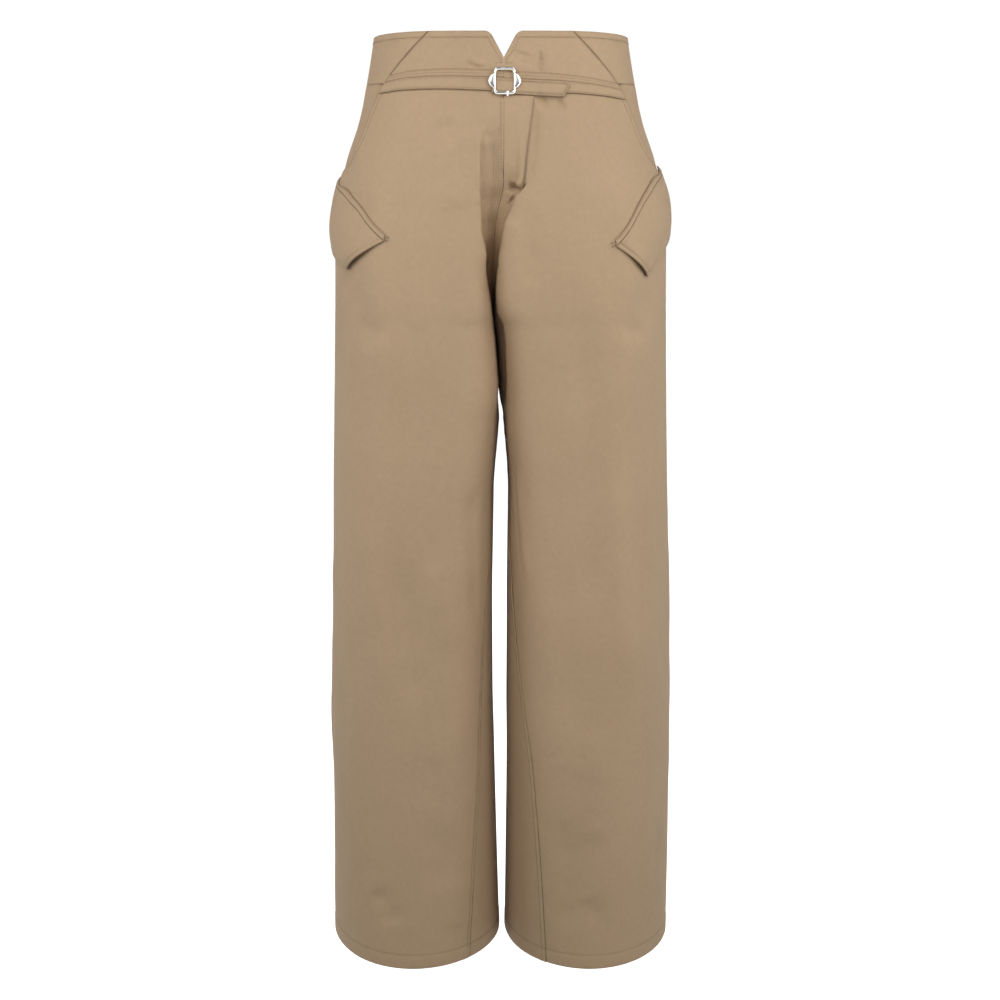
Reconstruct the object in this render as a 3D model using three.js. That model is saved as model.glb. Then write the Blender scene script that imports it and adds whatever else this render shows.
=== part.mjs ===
// Barrel leg trousers, filled out as when worn: every cloth piece is its own thin wall.
// Millimetres, +Z up, front towards -Y. The origin is the centre of the waist at belt height.
import * as THREE from "three";

// ---------------------------------------------------------------- cloth and seams
const PANEL_WALL = 1.6; // body cloth
const TRIM_WALL = 1.2; // band, strap, welts and fly lap
const FLAP_WALL = 2; // two layers of cloth
const SEAM_GAP = 0.3; // between neighbours at a seam
const LAY_GAP = 0.5; // between a panel and what lies on it
const FACING_GAP = 1.2; // between the front and the pocket facing behind it

// ---------------------------------------------------------------- heights
const WAIST_SEAM = -1; // seam under the belt band
const CROTCH = -245;
const HEM = -940;
const SIDE_SEAM_BEHIND = 20; // the side seam runs this far behind the widest line

// Rows of values under named columns.
function table(columns, rows) {
  return rows.map((row) => Object.fromEntries(columns.map((name, i) => [name, row[i]])));
}

// One half of the garment, a row per level. side: half-width; front, back: reach in Y;
// crest, backCrest: X of the front-most and back-most lines; wall: X of the inner face of the leg;
// rise, seat: Y of the centre seams; round: depth of the rounded floor beside them;
// inner, outer: superellipse powers of the quarters, squarer where the thighs press together.
const LEVELS = table(
  ["z", "side", "front", "back", "crest", "backCrest", "wall", "rise", "seat", "round", "inner", "outer"],
  [
    [50, 131.5, 93, 89, 24, 32, 12, -93, 89, 0, 2.2, 2.4],
    [0, 140.3, 101, 98, 32, 38, 14, -101, 98, 0, 2.2, 2.4],
    [-40, 150, 110, 108, 44, 47, 17, -109, 107, 1, 2.2, 2.4],
    [-80, 164, 119.5, 117, 58, 58, 20, -111, 113, 4, 2.4, 2.4],
    [-120, 173.8, 127, 123.5, 70, 69, 20, -107, 114, 8, 2.8, 2.4],
    [-160, 175.2, 131.5, 126, 79, 78, 15, -95, 107, 9, 3.2, 2.4],
    [-200, 175.8, 134, 127, 86, 86, 9, -74, 86, 7, 3.6, 2.35],
    [-230, 176.4, 135, 126.5, 89, 89, 5, -42, 50, 4, 3.8, 2.3],
    [-245, 176.8, 135, 126, 90, 90, 2, -1, 1, 0, 3.8, 2.3],
    [-300, 178.2, 134.5, 125.5, 91, 91, 1.2, -1, 1, 0, 3.8, 2.25],
    [-345, 179.5, 134, 125, 92, 92, 2.6, -1, 1, 0, 3.8, 2.2],
    [-424, 181.7, 133, 124, 94, 94, 8, -1, 1, 0, 3.6, 2.15],
    [-560, 184.8, 131, 122.5, 96, 96, 8, -1, 1, 0, 3.2, 2.1],
    [-722, 187.4, 128, 121, 97, 97, 7, -1, 1, 0, 2.7, 2.05],
    [-841, 188.5, 125.5, 120, 97, 97, 5, -1, 1, 0, 2.25, 2],
    [-940, 188.6, 123, 119, 96, 96, 3, -1, 1, 0, 1.95, 1.95],
  ],
);

// Curved seam from the waist, which becomes the slant pocket mouth below the band.
const MOUTH = [
  { z: 50, x: 72 },
  { z: 26, x: 96 },
  { z: 0, x: 117 },
  { z: -32, x: 133 },
  { z: -60, x: 144 },
  { z: -80, x: 157 },
  { z: -94, x: 168 },
];
const MOUTH_RUNOUT = 12; // height in which the mouth crosses to the side seam, under the welt
const FACING_UNDER = 12; // the pocket facing reaches this far under the front

// Inseam: distance that it has turned to the front, measured round each leg.
const INSEAM = [
  { z: -245, right: 0, left: 0 },
  { z: -330, right: 24, left: 22 },
  { z: -424, right: 54, left: 50 },
  { z: -495, right: 73, left: 77 },
  { z: -560, right: 86, left: 88 },
  { z: -640, right: 91, left: 103 },
  { z: -722, right: 93.5, left: 114 },
  { z: -841, right: 96.5, left: 117.5 },
  { z: -940, right: 99.5, left: 118 },
];

// The centre front, its notch and the waist's top edge.
const CENTRE_X = 3; // the front closes this far towards the wearer's left
const NOTCH_HALF = 14;
const NOTCH_BOTTOM = 24;
const FRONT_TOP = 50;
const SIDE_TOP = 46;
const BACK_TOP = 26;

// Belt band on the front: top and bottom edge on each side.
const BAND = [
  { x: 3, rightTop: 12, rightBottom: -9.5, leftTop: 11, leftBottom: -11 },
  { x: 60, rightTop: 13, rightBottom: -7.5, leftTop: 8, leftBottom: -11.5 },
  { x: 95, rightTop: 11.5, rightBottom: -8.5, leftTop: 4, leftBottom: -14 },
  { x: 124, rightTop: 7, rightBottom: -12, leftTop: -1, leftBottom: -18 },
];

// Strap end that lies over the left band, with its pointed tab.
const STRAP = { from: -9, top: 3.5, bottom: -12, drop: 4, shoulder: 61, tip: 69, tipAt: 0.25, toe: 62.5 };

// Fly lap: X of its free edge.
const FLY_STAND_OFF = 1.2; // at the lower end of the lap, over the hollow of the crotch
const FLY = [
  { z: -14, edge: 33.5 },
  { z: -40, edge: 30 },
  { z: -70, edge: 26 },
  { z: -104, edge: 23.5 },
];

// Hip flaps, hung from their welts: the upper and lower edge of each, from the front corner and
// toe at share 0 to the back end at share 1, as distances ahead of the side line and heights. A
// flap stands off the hip in a soft bulge and comes back in at its free edge.
const FLAP_EDGES = {
  right: table(["share", "upperAhead", "upperZ", "lowerAhead", "lowerZ"], [
    [0, 148, -156.6, 96, -187.2],
    [0.3, 100, -123, 62, -177.5],
    [0.5, 70, -111, 38, -172],
    [0.75, 30, -104, 2, -166],
    [1, -8, -99, -30, -160],
  ]),
  left: table(["share", "upperAhead", "upperZ", "lowerAhead", "lowerZ"], [
    [0, 149.5, -162, 111, -194],
    [0.3, 102, -116.5, 71, -168.5],
    [0.5, 70, -100.5, 45, -161.5],
    [0.75, 30, -92.5, 8, -156],
    [1, -8, -88, -26, -152],
  ]),
};
const FLAP = { bulge: 3.4, bulgeSkew: 1.6, edgeOff: 1.6 };
const FLAP_GAP = 0.7; // under the flap where it hangs from the welt
const WELT_WIDTH = 6;

// Buckle frame: opening, bars, ears and plate.
const BUCKLE = {
  x: 4, halfWidth: 8.8, halfHeight: 11, bar: 2.6, side: 2.2, ear: 5.4, earHalf: 9.5, plate: 1.6, lift: 4.3,
};
const TONGUE = { x: 6.8, width: 2.4, height: 6, plate: 1.2 };

// ---------------------------------------------------------------- the surface
// Smooth curve through one column of a table, level to level, with no overshoot.
function columnCurve(rows, column, key = "z") {
  const sorted = [...rows].sort((a, b) => a[key] - b[key]);
  const at = sorted.map((row) => row[key]);
  const value = sorted.map((row) => row[column]);
  const slope = at.slice(1).map((next, i) => (value[i + 1] - value[i]) / (next - at[i]));
  const tangent = at.map((_, i) => {
    if (i === 0 || i === at.length - 1) return slope[Math.min(i, slope.length - 1)];
    const [before, after] = [slope[i - 1], slope[i]];
    return before * after <= 0 ? 0 : (2 * before * after) / (before + after);
  });
  return (x) => {
    const clamped = Math.min(Math.max(x, at[0]), at[at.length - 1]);
    let i = 0;
    while (i < at.length - 2 && clamped > at[i + 1]) i += 1;
    const span = at[i + 1] - at[i];
    const t = (clamped - at[i]) / span;
    const rise = value[i + 1] - value[i];
    const start = tangent[i] * span;
    const end = tangent[i + 1] * span;
    return value[i] + t * (start + t * (3 * rise - 2 * start - end + t * (start + end - 2 * rise)));
  };
}

const level = Object.fromEntries(
  Object.keys(LEVELS[0]).filter((name) => name !== "z").map((name) => [name, columnCurve(LEVELS, name)]),
);

// Quarter of a superellipse from a point where it runs along X to one where it runs along Y.
function quarter(alongX, alongY, power, steps) {
  return Array.from({ length: steps + 1 }, (_, i) => {
    const angle = (i / steps) * (Math.PI / 2);
    return [
      alongX[0] + (alongY[0] - alongX[0]) * Math.sin(angle) ** (2 / power),
      alongY[1] + (alongX[1] - alongY[1]) * Math.cos(angle) ** (2 / power),
    ];
  });
}

const QUARTER_STEPS = 28;
const outlines = new Map();

// Half outline at one level, x >= 0: centre front (or inner face of the leg), side, centre back.
function outline(z) {
  if (outlines.has(z)) return outlines.get(z);
  const size = Object.fromEntries(Object.keys(level).map((name) => [name, level[name](z)]));
  const crest = [size.crest, -size.front];
  const backCrest = [size.backCrest, size.back];
  const side = [size.side, 0];
  const frontWall = [size.wall, size.rise - size.round];
  const backWall = [size.wall, size.seat + size.round];
  const isTorso = z >= CROTCH;
  const runs = [
    isTorso ? quarter([0, size.rise], frontWall, 2, QUARTER_STEPS / 2) : [],
    quarter(crest, frontWall, size.inner, QUARTER_STEPS).reverse(),
    quarter(crest, side, size.outer, QUARTER_STEPS),
    quarter(backCrest, side, size.outer, QUARTER_STEPS).reverse(),
    quarter(backCrest, backWall, size.inner, QUARTER_STEPS),
    isTorso ? quarter([0, size.seat], backWall, 2, QUARTER_STEPS / 2).reverse() : [frontWall],
  ];
  const points = runs.flat();
  const lengths = [0];
  for (let i = 1; i < points.length; i += 1) {
    const [before, here] = [points[i - 1], points[i]];
    lengths.push(lengths[i - 1] + Math.hypot(here[0] - before[0], here[1] - before[1]));
  }
  const crestIndex = runs[0].length + runs[1].length - 1;
  const sideIndex = crestIndex + runs[2].length;
  const backCrestIndex = sideIndex + runs[3].length;
  const result = {
    points, lengths, sideIndex, isTorso, total: lengths.at(-1),
    crestDistance: lengths[crestIndex], backCrestDistance: lengths[backCrestIndex],
  };
  outlines.set(z, result);
  return result;
}

// Point of the surface at a distance round the outline from its start.
function surfacePoint(distance, z) {
  const { points, lengths, total, isTorso } = outline(z);
  const mirrored = isTorso && distance < 0;
  let along = Math.abs(distance);
  if (!isTorso) along = ((distance % total) + total) % total;
  along = Math.min(along, total);
  let low = 0;
  let high = lengths.length - 1;
  while (high - low > 1) {
    const middle = (low + high) >> 1;
    if (lengths[middle] <= along) low = middle;
    else high = middle;
  }
  const step = lengths[high] - lengths[low];
  const t = step > 0 ? (along - lengths[low]) / step : 0;
  const x = points[low][0] + (points[high][0] - points[low][0]) * t;
  const y = points[low][1] + (points[high][1] - points[low][1]) * t;
  return new THREE.Vector3(mirrored ? -x : x, y, z);
}

function sideDistance(z) {
  const { lengths, sideIndex } = outline(z);
  return lengths[sideIndex];
}

// Distance round the front at which the surface reaches a given X.
function distanceAtX(x, z) {
  const { points, lengths, sideIndex } = outline(z);
  const reach = Math.abs(x);
  for (let i = 1; i <= sideIndex; i += 1) {
    if (points[i][0] >= reach) {
      const step = points[i][0] - points[i - 1][0];
      const t = step > 0 ? (reach - points[i - 1][0]) / step : 0;
      return Math.sign(x || 1) * (lengths[i - 1] + (lengths[i] - lengths[i - 1]) * t);
    }
  }
  return Math.sign(x) * lengths[sideIndex];
}

const NORMAL_STEP = 2.5; // distance over which the surface direction is taken

function surfaceNormal(distance, z) {
  const { total, isTorso } = outline(z);
  const after = isTorso ? Math.min(distance + NORMAL_STEP, total) : distance + NORMAL_STEP;
  const round = surfacePoint(after, z).sub(surfacePoint(distance - NORMAL_STEP, z));
  if (isTorso && (Math.abs(distance) < SEAM_GAP || total - distance < SEAM_GAP)) round.setY(0);
  const above = Math.min(z + NORMAL_STEP, LEVELS[0].z);
  const below = Math.max(z - NORMAL_STEP, HEM);
  const up = surfacePoint(distance, above).sub(surfacePoint(distance, below));
  return round.cross(up).normalize();
}

// ---------------------------------------------------------------- walls
// Closed wall between two grids of points, outer and inner, with its rim.
function wallGeometry(outer, inner, mirror) {
  const rows = outer.length;
  const columns = outer[0].length;
  const flip = mirror ? -1 : 1;
  const positions = [...outer.flat(), ...inner.flat()].flatMap((p) => [p.x * flip, p.y, p.z]);
  const offset = rows * columns;
  const triangles = [];
  const quad = (a, b, c, d) => triangles.push(a, b, c, a, c, d);
  const id = (i, j) => i * columns + j;
  for (let i = 0; i < rows - 1; i += 1) {
    for (let j = 0; j < columns - 1; j += 1) {
      quad(id(i, j), id(i + 1, j), id(i + 1, j + 1), id(i, j + 1));
      quad(offset + id(i, j), offset + id(i, j + 1), offset + id(i + 1, j + 1), offset + id(i + 1, j));
    }
  }
  for (let j = 0; j < columns - 1; j += 1) {
    quad(id(0, j), id(0, j + 1), offset + id(0, j + 1), offset + id(0, j));
    quad(offset + id(rows - 1, j), offset + id(rows - 1, j + 1), id(rows - 1, j + 1), id(rows - 1, j));
  }
  for (let i = 0; i < rows - 1; i += 1) {
    const [here, below] = [id(i, columns - 1), id(i + 1, columns - 1)];
    quad(offset + id(i, 0), offset + id(i + 1, 0), id(i + 1, 0), id(i, 0));
    quad(here, below, offset + below, offset + here);
  }
  if (mirror) {
    for (let i = 0; i < triangles.length; i += 3) {
      [triangles[i + 1], triangles[i + 2]] = [triangles[i + 2], triangles[i + 1]];
    }
  }
  const geometry = new THREE.BufferGeometry();
  geometry.setAttribute("position", new THREE.Float32BufferAttribute(positions, 3));
  geometry.setIndex(triangles);
  geometry.computeVertexNormals();
  return geometry;
}

// A cloth piece: place(across, down) gives the distance round, the height and the lift of its
// outer face over the surface, with across and down running from 0 to 1.
function clothGeometry({ columns, rows, place, thickness, mirror }) {
  const outer = [];
  const inner = [];
  for (const down of rows) {
    const outerRow = [];
    const innerRow = [];
    for (const across of columns) {
      const { distance, z, lift } = place(across, down);
      const point = surfacePoint(distance, z);
      const normal = surfaceNormal(distance, z);
      outerRow.push(point.clone().addScaledVector(normal, lift));
      innerRow.push(point.clone().addScaledVector(normal, lift - thickness));
    }
    outer.push(outerRow);
    inner.push(innerRow);
  }
  return wallGeometry(outer, inner, mirror);
}

const even = (count) => Array.from({ length: count + 1 }, (_, i) => i / count);
const mix = (a, b, t) => a + (b - a) * t;
const eased = (t) => t * t * (3 - 2 * t);

// ---------------------------------------------------------------- seam lines
const mouthX = columnCurve(MOUTH, "x");
const inseamTurn = { right: columnCurve(INSEAM, "right"), left: columnCurve(INSEAM, "left") };
const MOUTH_END = MOUTH.at(-1).z;
const sideSeam = (z) => sideDistance(z) + SIDE_SEAM_BEHIND;

// Outer edge of the front: the mouth, then the side seam below it.
function frontEdge(z) {
  if (z >= MOUTH_END) return distanceAtX(mouthX(z), z);
  const runout = Math.min((MOUTH_END - z) / MOUTH_RUNOUT, 1);
  const mouthAhead = sideDistance(MOUTH_END) - distanceAtX(mouthX(MOUTH_END), MOUTH_END);
  return sideDistance(z) - mix(mouthAhead, -SIDE_SEAM_BEHIND, eased(runout));
}

// The front closes a little to one side of the middle, and the seam comes back to it at the crotch.
const centreShift = (z) => CENTRE_X * eased(Math.min(Math.max((z - CROTCH) / (CROTCH / -2), 0), 1));

function frontStart(z, wearer) {
  const shift = wearer === "left" ? centreShift(z) : -centreShift(z);
  if (z < CROTCH) return inseamTurn[wearer](z) + SEAM_GAP / 2;
  return shift + SEAM_GAP / 2;
}

function backEnd(z, wearer) {
  return outline(z).total + (z < CROTCH ? inseamTurn[wearer](z) : 0) - SEAM_GAP / 2;
}

// ---------------------------------------------------------------- pieces
const HIP_ROWS = [-12, -24, -36, -48, -60, -71, -82, -94];
const SEAT_ROWS = [-100, -106, -122, -142, -164, -186, -205, -220, -232, -240, CROTCH];
const LEG_ROWS = [-250, -262, -290, -335, -395, -475, -570, -670, -770, -860, HEM];
const PANEL_LEVELS = [WAIST_SEAM - SEAM_GAP / 2, ...HIP_ROWS, ...SEAT_ROWS, ...LEG_ROWS];

// Shares of a panel's columns in its two stretches, on either side of its crest line.
const FRONT_INNER = [0, 0.12, 0.26, 0.42, 0.6, 0.8, 1];
const FRONT_OUTER = [0, 0.2, 0.4, 0.58, 0.75, 0.9, 1];
const BACK_OUTER = [0, 0.2, 0.4, 0.6, 0.8, 1];
const BACK_INNER = [0, 0.12, 0.24, 0.36, 0.47, 0.58, 0.69, 0.8, 0.9, 1];

function panelColumns(first, second) {
  return [...first.slice(0, -1), ...second.map((share) => share + 1)];
}

function alongPanel(across, start, crest, end) {
  return across < 1 ? mix(start, crest, across) : mix(crest, end, across - 1);
}

function frontPanel(wearer) {
  return {
    columns: panelColumns(FRONT_INNER, FRONT_OUTER),
    rows: PANEL_LEVELS,
    thickness: PANEL_WALL,
    place: (across, z) => {
      const { crestDistance } = outline(z);
      const end = frontEdge(z) - SEAM_GAP / 2;
      return { distance: alongPanel(across, frontStart(z, wearer), crestDistance, end), z, lift: 0 };
    },
  };
}

function backPanel(wearer) {
  return {
    columns: panelColumns(BACK_OUTER, BACK_INNER),
    rows: PANEL_LEVELS,
    thickness: PANEL_WALL,
    place: (across, z) => {
      const { backCrestDistance } = outline(z);
      const start = sideSeam(z) + SEAM_GAP / 2;
      return { distance: alongPanel(across, start, backCrestDistance, backEnd(z, wearer)), z, lift: 0 };
    },
  };
}

// Pocket facing: set in under the front at the mouth, level with the back at the side seam.
function hipSide() {
  return {
    columns: even(7),
    rows: [WAIST_SEAM - SEAM_GAP / 2, ...HIP_ROWS],
    thickness: PANEL_WALL,
    place: (across, z) => {
      const mouth = frontEdge(z);
      const seam = sideSeam(z) - SEAM_GAP / 2;
      const distance = mix(mouth - FACING_UNDER, seam, across);
      const inset = eased(Math.min((seam - distance) / (seam - mouth), 1));
      return { distance, z, lift: -inset * (PANEL_WALL + FACING_GAP) };
    },
  };
}

const WAIST_ROWS = [0, 0.26, 0.5, 0.75, 1];

// Waist piece between two seam lines, from its top edge down to the waist seam.
function waistPiece({ columns, from, to, top }) {
  return {
    columns,
    rows: WAIST_ROWS,
    thickness: PANEL_WALL,
    place: (across, down) => {
      const z = mix(top(across), WAIST_SEAM + SEAM_GAP / 2, down);
      return { distance: mix(from(z), to(z), across), z, lift: 0 };
    },
  };
}

function yokeFront(wearer) {
  const outward = wearer === "left" ? 1 : -1;
  const notch = (z) => NOTCH_HALF * Math.max(z - NOTCH_BOTTOM, 0) / (FRONT_TOP - NOTCH_BOTTOM);
  return waistPiece({
    columns: even(8),
    from: (z) => outward * centreShift(z) + notch(z) + SEAM_GAP / 2,
    to: (z) => frontEdge(z) - SEAM_GAP / 2,
    top: () => FRONT_TOP,
  });
}

function waistSide() {
  return waistPiece({
    columns: even(6),
    from: (z) => frontEdge(z) + SEAM_GAP / 2,
    to: (z) => sideSeam(z) - SEAM_GAP / 2,
    top: (across) => mix(FRONT_TOP, SIDE_TOP, eased(across)),
  });
}

function waistBack() {
  return waistPiece({
    columns: even(8),
    from: (z) => sideSeam(z) + SEAM_GAP / 2,
    to: (z) => outline(z).total - SEAM_GAP / 2,
    top: (across) => mix(SIDE_TOP, BACK_TOP, eased(across)),
  });
}

function bandFront(wearer) {
  const top = columnCurve(BAND, `${wearer}Top`, "x");
  const bottom = columnCurve(BAND, `${wearer}Bottom`, "x");
  const outward = wearer === "left" ? 1 : -1;
  return {
    columns: even(12),
    rows: even(2),
    thickness: TRIM_WALL,
    place: (across, down) => {
      const startX = outward * CENTRE_X + SEAM_GAP;
      const x = mix(startX, BAND.at(-1).x, across);
      const z = mix(top(x), bottom(x), down);
      const distance = mix(distanceAtX(startX, z), frontEdge(z) - SEAM_GAP, across);
      return { distance, z, lift: LAY_GAP + TRIM_WALL };
    },
  };
}

function strap() {
  const ends = [
    { down: 0, x: STRAP.shoulder }, { down: STRAP.tipAt, x: STRAP.tip }, { down: 1, x: STRAP.toe },
  ];
  const endX = (down) => {
    const i = down <= STRAP.tipAt ? 0 : 1;
    return mix(ends[i].x, ends[i + 1].x, (down - ends[i].down) / (ends[i + 1].down - ends[i].down));
  };
  return {
    columns: even(8),
    rows: [0, STRAP.tipAt, 0.6, 1],
    thickness: TRIM_WALL,
    place: (across, down) => {
      const x = mix(STRAP.from, endX(down), across);
      const z = mix(STRAP.top, STRAP.bottom, down) - STRAP.drop * (x / STRAP.tip);
      return { distance: distanceAtX(x, z), z, lift: 2 * (LAY_GAP + TRIM_WALL) };
    },
  };
}

function flyLap() {
  const edge = columnCurve(FLY, "edge");
  return {
    columns: even(6),
    rows: even(8),
    thickness: TRIM_WALL,
    place: (across, down) => {
      const z = mix(FLY[0].z, FLY.at(-1).z, down);
      const distance = mix(centreShift(z) + SEAM_GAP, distanceAtX(edge(z), z), across);
      return { distance, z, lift: LAY_GAP + TRIM_WALL + FLY_STAND_OFF * down };
    },
  };
}

const flapEdge = Object.fromEntries(
  Object.entries(FLAP_EDGES).map(([wearer, rows]) => [
    wearer,
    Object.fromEntries(
      ["upperAhead", "upperZ", "lowerAhead", "lowerZ"].map((name) => [name, columnCurve(rows, name, "share")]),
    ),
  ]),
);

function flapPoint(wearer, across, down) {
  const edge = flapEdge[wearer];
  const z = mix(edge.upperZ(across), edge.lowerZ(across), down);
  return { distance: sideDistance(z) - mix(edge.upperAhead(across), edge.lowerAhead(across), down), z };
}

function flap(wearer) {
  return {
    columns: even(12),
    rows: even(4),
    thickness: FLAP_WALL,
    place: (across, down) => {
      const bulge = FLAP.bulge * Math.sin(Math.PI * down ** FLAP.bulgeSkew);
      return { ...flapPoint(wearer, across, down), lift: FLAP_GAP + FLAP_WALL + FLAP.edgeOff * down + bulge };
    },
  };
}

function welt(wearer) {
  return {
    columns: even(12),
    rows: even(1),
    thickness: TRIM_WALL,
    place: (across, down) => {
      const { distance, z } = flapPoint(wearer, across, 0);
      const height = mix(z + WELT_WIDTH + SEAM_GAP, z + 1.5 * SEAM_GAP, down); // its seam is on a slant
      const shift = sideDistance(height) - sideDistance(z);
      return { distance: distance + shift, z: height, lift: LAY_GAP + TRIM_WALL };
    },
  };
}

// ---------------------------------------------------------------- metal
// Rectangular frame whose sides swell into rounded ears.
function buckleFrameGeometry() {
  const { halfWidth, halfHeight, bar, side, ear, earHalf, plate } = BUCKLE;
  const right = halfWidth + side;
  const top = halfHeight + bar;
  const shape = new THREE.Shape();
  shape.moveTo(-right, -top);
  shape.lineTo(right, -top);
  shape.lineTo(right, -earHalf);
  shape.bezierCurveTo(right, -earHalf / 2, right + ear, -earHalf / 2, right + ear, 0);
  shape.bezierCurveTo(right + ear, earHalf / 2, right, earHalf / 2, right, earHalf);
  shape.lineTo(right, top);
  shape.lineTo(-right, top);
  shape.lineTo(-right, earHalf);
  shape.bezierCurveTo(-right, earHalf / 2, -right - ear, earHalf / 2, -right - ear, 0);
  shape.bezierCurveTo(-right - ear, -earHalf / 2, -right, -earHalf / 2, -right, -earHalf);
  shape.closePath();
  const opening = new THREE.Path();
  opening.moveTo(-halfWidth, -halfHeight);
  opening.lineTo(-halfWidth, halfHeight);
  opening.lineTo(halfWidth, halfHeight);
  opening.lineTo(halfWidth, -halfHeight);
  opening.closePath();
  shape.holes.push(opening);
  return new THREE.ExtrudeGeometry(shape, { depth: plate, bevelEnabled: false, curveSegments: 6 });
}

// ---------------------------------------------------------------- assembly
const clothColour = 0xb69f7f;
const facingColour = 0xb09976;
const metalColour = 0xc9c9c4;

function clothMaterial(colour) {
  return new THREE.MeshStandardMaterial({ color: colour, roughness: 0.8, metalness: 0 });
}

function metalMaterial() {
  return new THREE.MeshStandardMaterial({ color: metalColour, roughness: 0.25, metalness: 1 });
}

const trousers = new THREE.Group();

function addCloth(name, piece, wearer, colour = clothColour) {
  const geometry = clothGeometry({ ...piece, mirror: wearer === "right" });
  const mesh = new THREE.Mesh(geometry, clothMaterial(colour));
  mesh.name = name;
  trousers.add(mesh);
}

for (const wearer of ["right", "left"]) {
  addCloth(`leg_front_${wearer}`, frontPanel(wearer), wearer);
  addCloth(`leg_back_${wearer}`, backPanel(wearer), wearer);
  addCloth(`pocket_facing_${wearer}`, hipSide(), wearer, facingColour);
  addCloth(`yoke_front_${wearer}`, yokeFront(wearer), wearer);
  addCloth(`waist_side_${wearer}`, waistSide(), wearer);
  addCloth(`waist_back_${wearer}`, waistBack(), wearer);
  addCloth(`belt_band_${wearer}`, bandFront(wearer), wearer);
  addCloth(`pocket_welt_${wearer}`, welt(wearer), wearer);
  addCloth(`pocket_flap_${wearer}`, flap(wearer), wearer);
}
addCloth("fly_lap", flyLap(), "left");
addCloth("belt_strap", strap(), "left");

// The buckle lies over the strap and leans back with the front of the waist.
const buckle = new THREE.Group();
const buckleFoot = surfacePoint(distanceAtX(BUCKLE.x, 0), 0);
const buckleNormal = surfaceNormal(distanceAtX(BUCKLE.x, 0), 0);
buckle.position.copy(buckleFoot).addScaledVector(buckleNormal, BUCKLE.lift);
buckle.rotation.x = Math.PI / 2 - Math.atan2(buckleNormal.z, -buckleNormal.y);
trousers.add(buckle);

const frameMesh = new THREE.Mesh(buckleFrameGeometry(), metalMaterial());
frameMesh.name = "buckle_frame";
buckle.add(frameMesh);

const tongueGeometry = new THREE.BoxGeometry(TONGUE.width, TONGUE.height, TONGUE.plate);
const tongueMesh = new THREE.Mesh(tongueGeometry, metalMaterial());
tongueMesh.name = "buckle_tongue";
tongueMesh.position.set(
  TONGUE.x - BUCKLE.x, -BUCKLE.halfHeight - BUCKLE.bar / 2, BUCKLE.plate + SEAM_GAP + TONGUE.plate / 2,
);
buckle.add(tongueMesh);

export default trousers;
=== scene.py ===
"""Barrel leg trousers in cotton twill, filled out as when worn, with a belted waist."""

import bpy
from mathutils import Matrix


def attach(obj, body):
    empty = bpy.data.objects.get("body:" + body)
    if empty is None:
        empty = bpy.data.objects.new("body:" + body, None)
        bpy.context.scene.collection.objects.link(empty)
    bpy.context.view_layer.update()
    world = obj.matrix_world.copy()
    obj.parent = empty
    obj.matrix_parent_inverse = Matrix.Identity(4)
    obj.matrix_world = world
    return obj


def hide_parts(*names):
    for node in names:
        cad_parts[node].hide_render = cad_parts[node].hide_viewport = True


bl_info = {
    "name": "Barrel leg trousers",
    "version": (1, 0, 0),
    "blender": (4, 5, 0),
    "location": "View3D > Sidebar > Trousers",
    "description": "Builds belted barrel leg trousers in cotton twill over a fixed frame",
    "category": "Object",
}

import math

import bpy
import numpy as np
from mathutils import Matrix, Vector

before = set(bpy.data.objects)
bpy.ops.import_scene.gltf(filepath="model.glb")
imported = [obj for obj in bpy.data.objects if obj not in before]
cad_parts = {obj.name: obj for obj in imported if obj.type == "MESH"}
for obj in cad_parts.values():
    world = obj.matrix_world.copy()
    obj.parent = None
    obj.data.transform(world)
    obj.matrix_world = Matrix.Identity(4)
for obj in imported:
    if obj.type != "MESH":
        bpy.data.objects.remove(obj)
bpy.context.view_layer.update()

# Sizes are in millimetres and are turned to metres where a mesh is made.
# +Z is up, the front looks towards -Y, and +X is the wearer's left.
MM = 0.001

# ---------------------------------------------------------------- cloth and seams
PANEL_WALL = 1.6
TRIM_WALL = 1.2
FLAP_WALL = 2.0
FINE_GAP = 0.06  # between two panels where they are sewn together
LAY_GAP = 0.5
FACING_SET_BACK = 2.8
EDGE_ROUND = 0.75
EDGE_STEPS = (0, 0.1, 0.3, 0.75, 1.6, 2.9, 4.0, 4.8, 5.6, 7.0, 9.0, 11.5)
HEM_DEPTH = 16.6
HEM_STEPS = (0, 0.12, 0.35, 0.8, 2.2, 6.0, 11.0, 14.6, 15.8, 16.6, 17.4, 18.6, 21.5)

# ---------------------------------------------------------------- stitch lines
# Distance of each row of stitches from the edge or seam that it follows.
SEAM_STITCH = 4.8
MOUTH_STITCH = 5.2
TOP_STITCH = 6.4
FLAP_STITCH = 4.2
WELT_STITCH = 1.5
STRAP_STITCH = 2.6

# ---------------------------------------------------------------- heights
WAIST_SEAM = -1
CROTCH = -245
HEM = -940
TOP = 50
SIDE_SEAM_BEHIND = 20
LEVEL_STEP = 2.0
NORMAL_STEP = 2.5


def table(columns, rows):
    """Rows of values as one array under each column's name."""
    values = np.array(rows, float)
    return {name: values[:, i] for i, name in enumerate(columns)}


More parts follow.
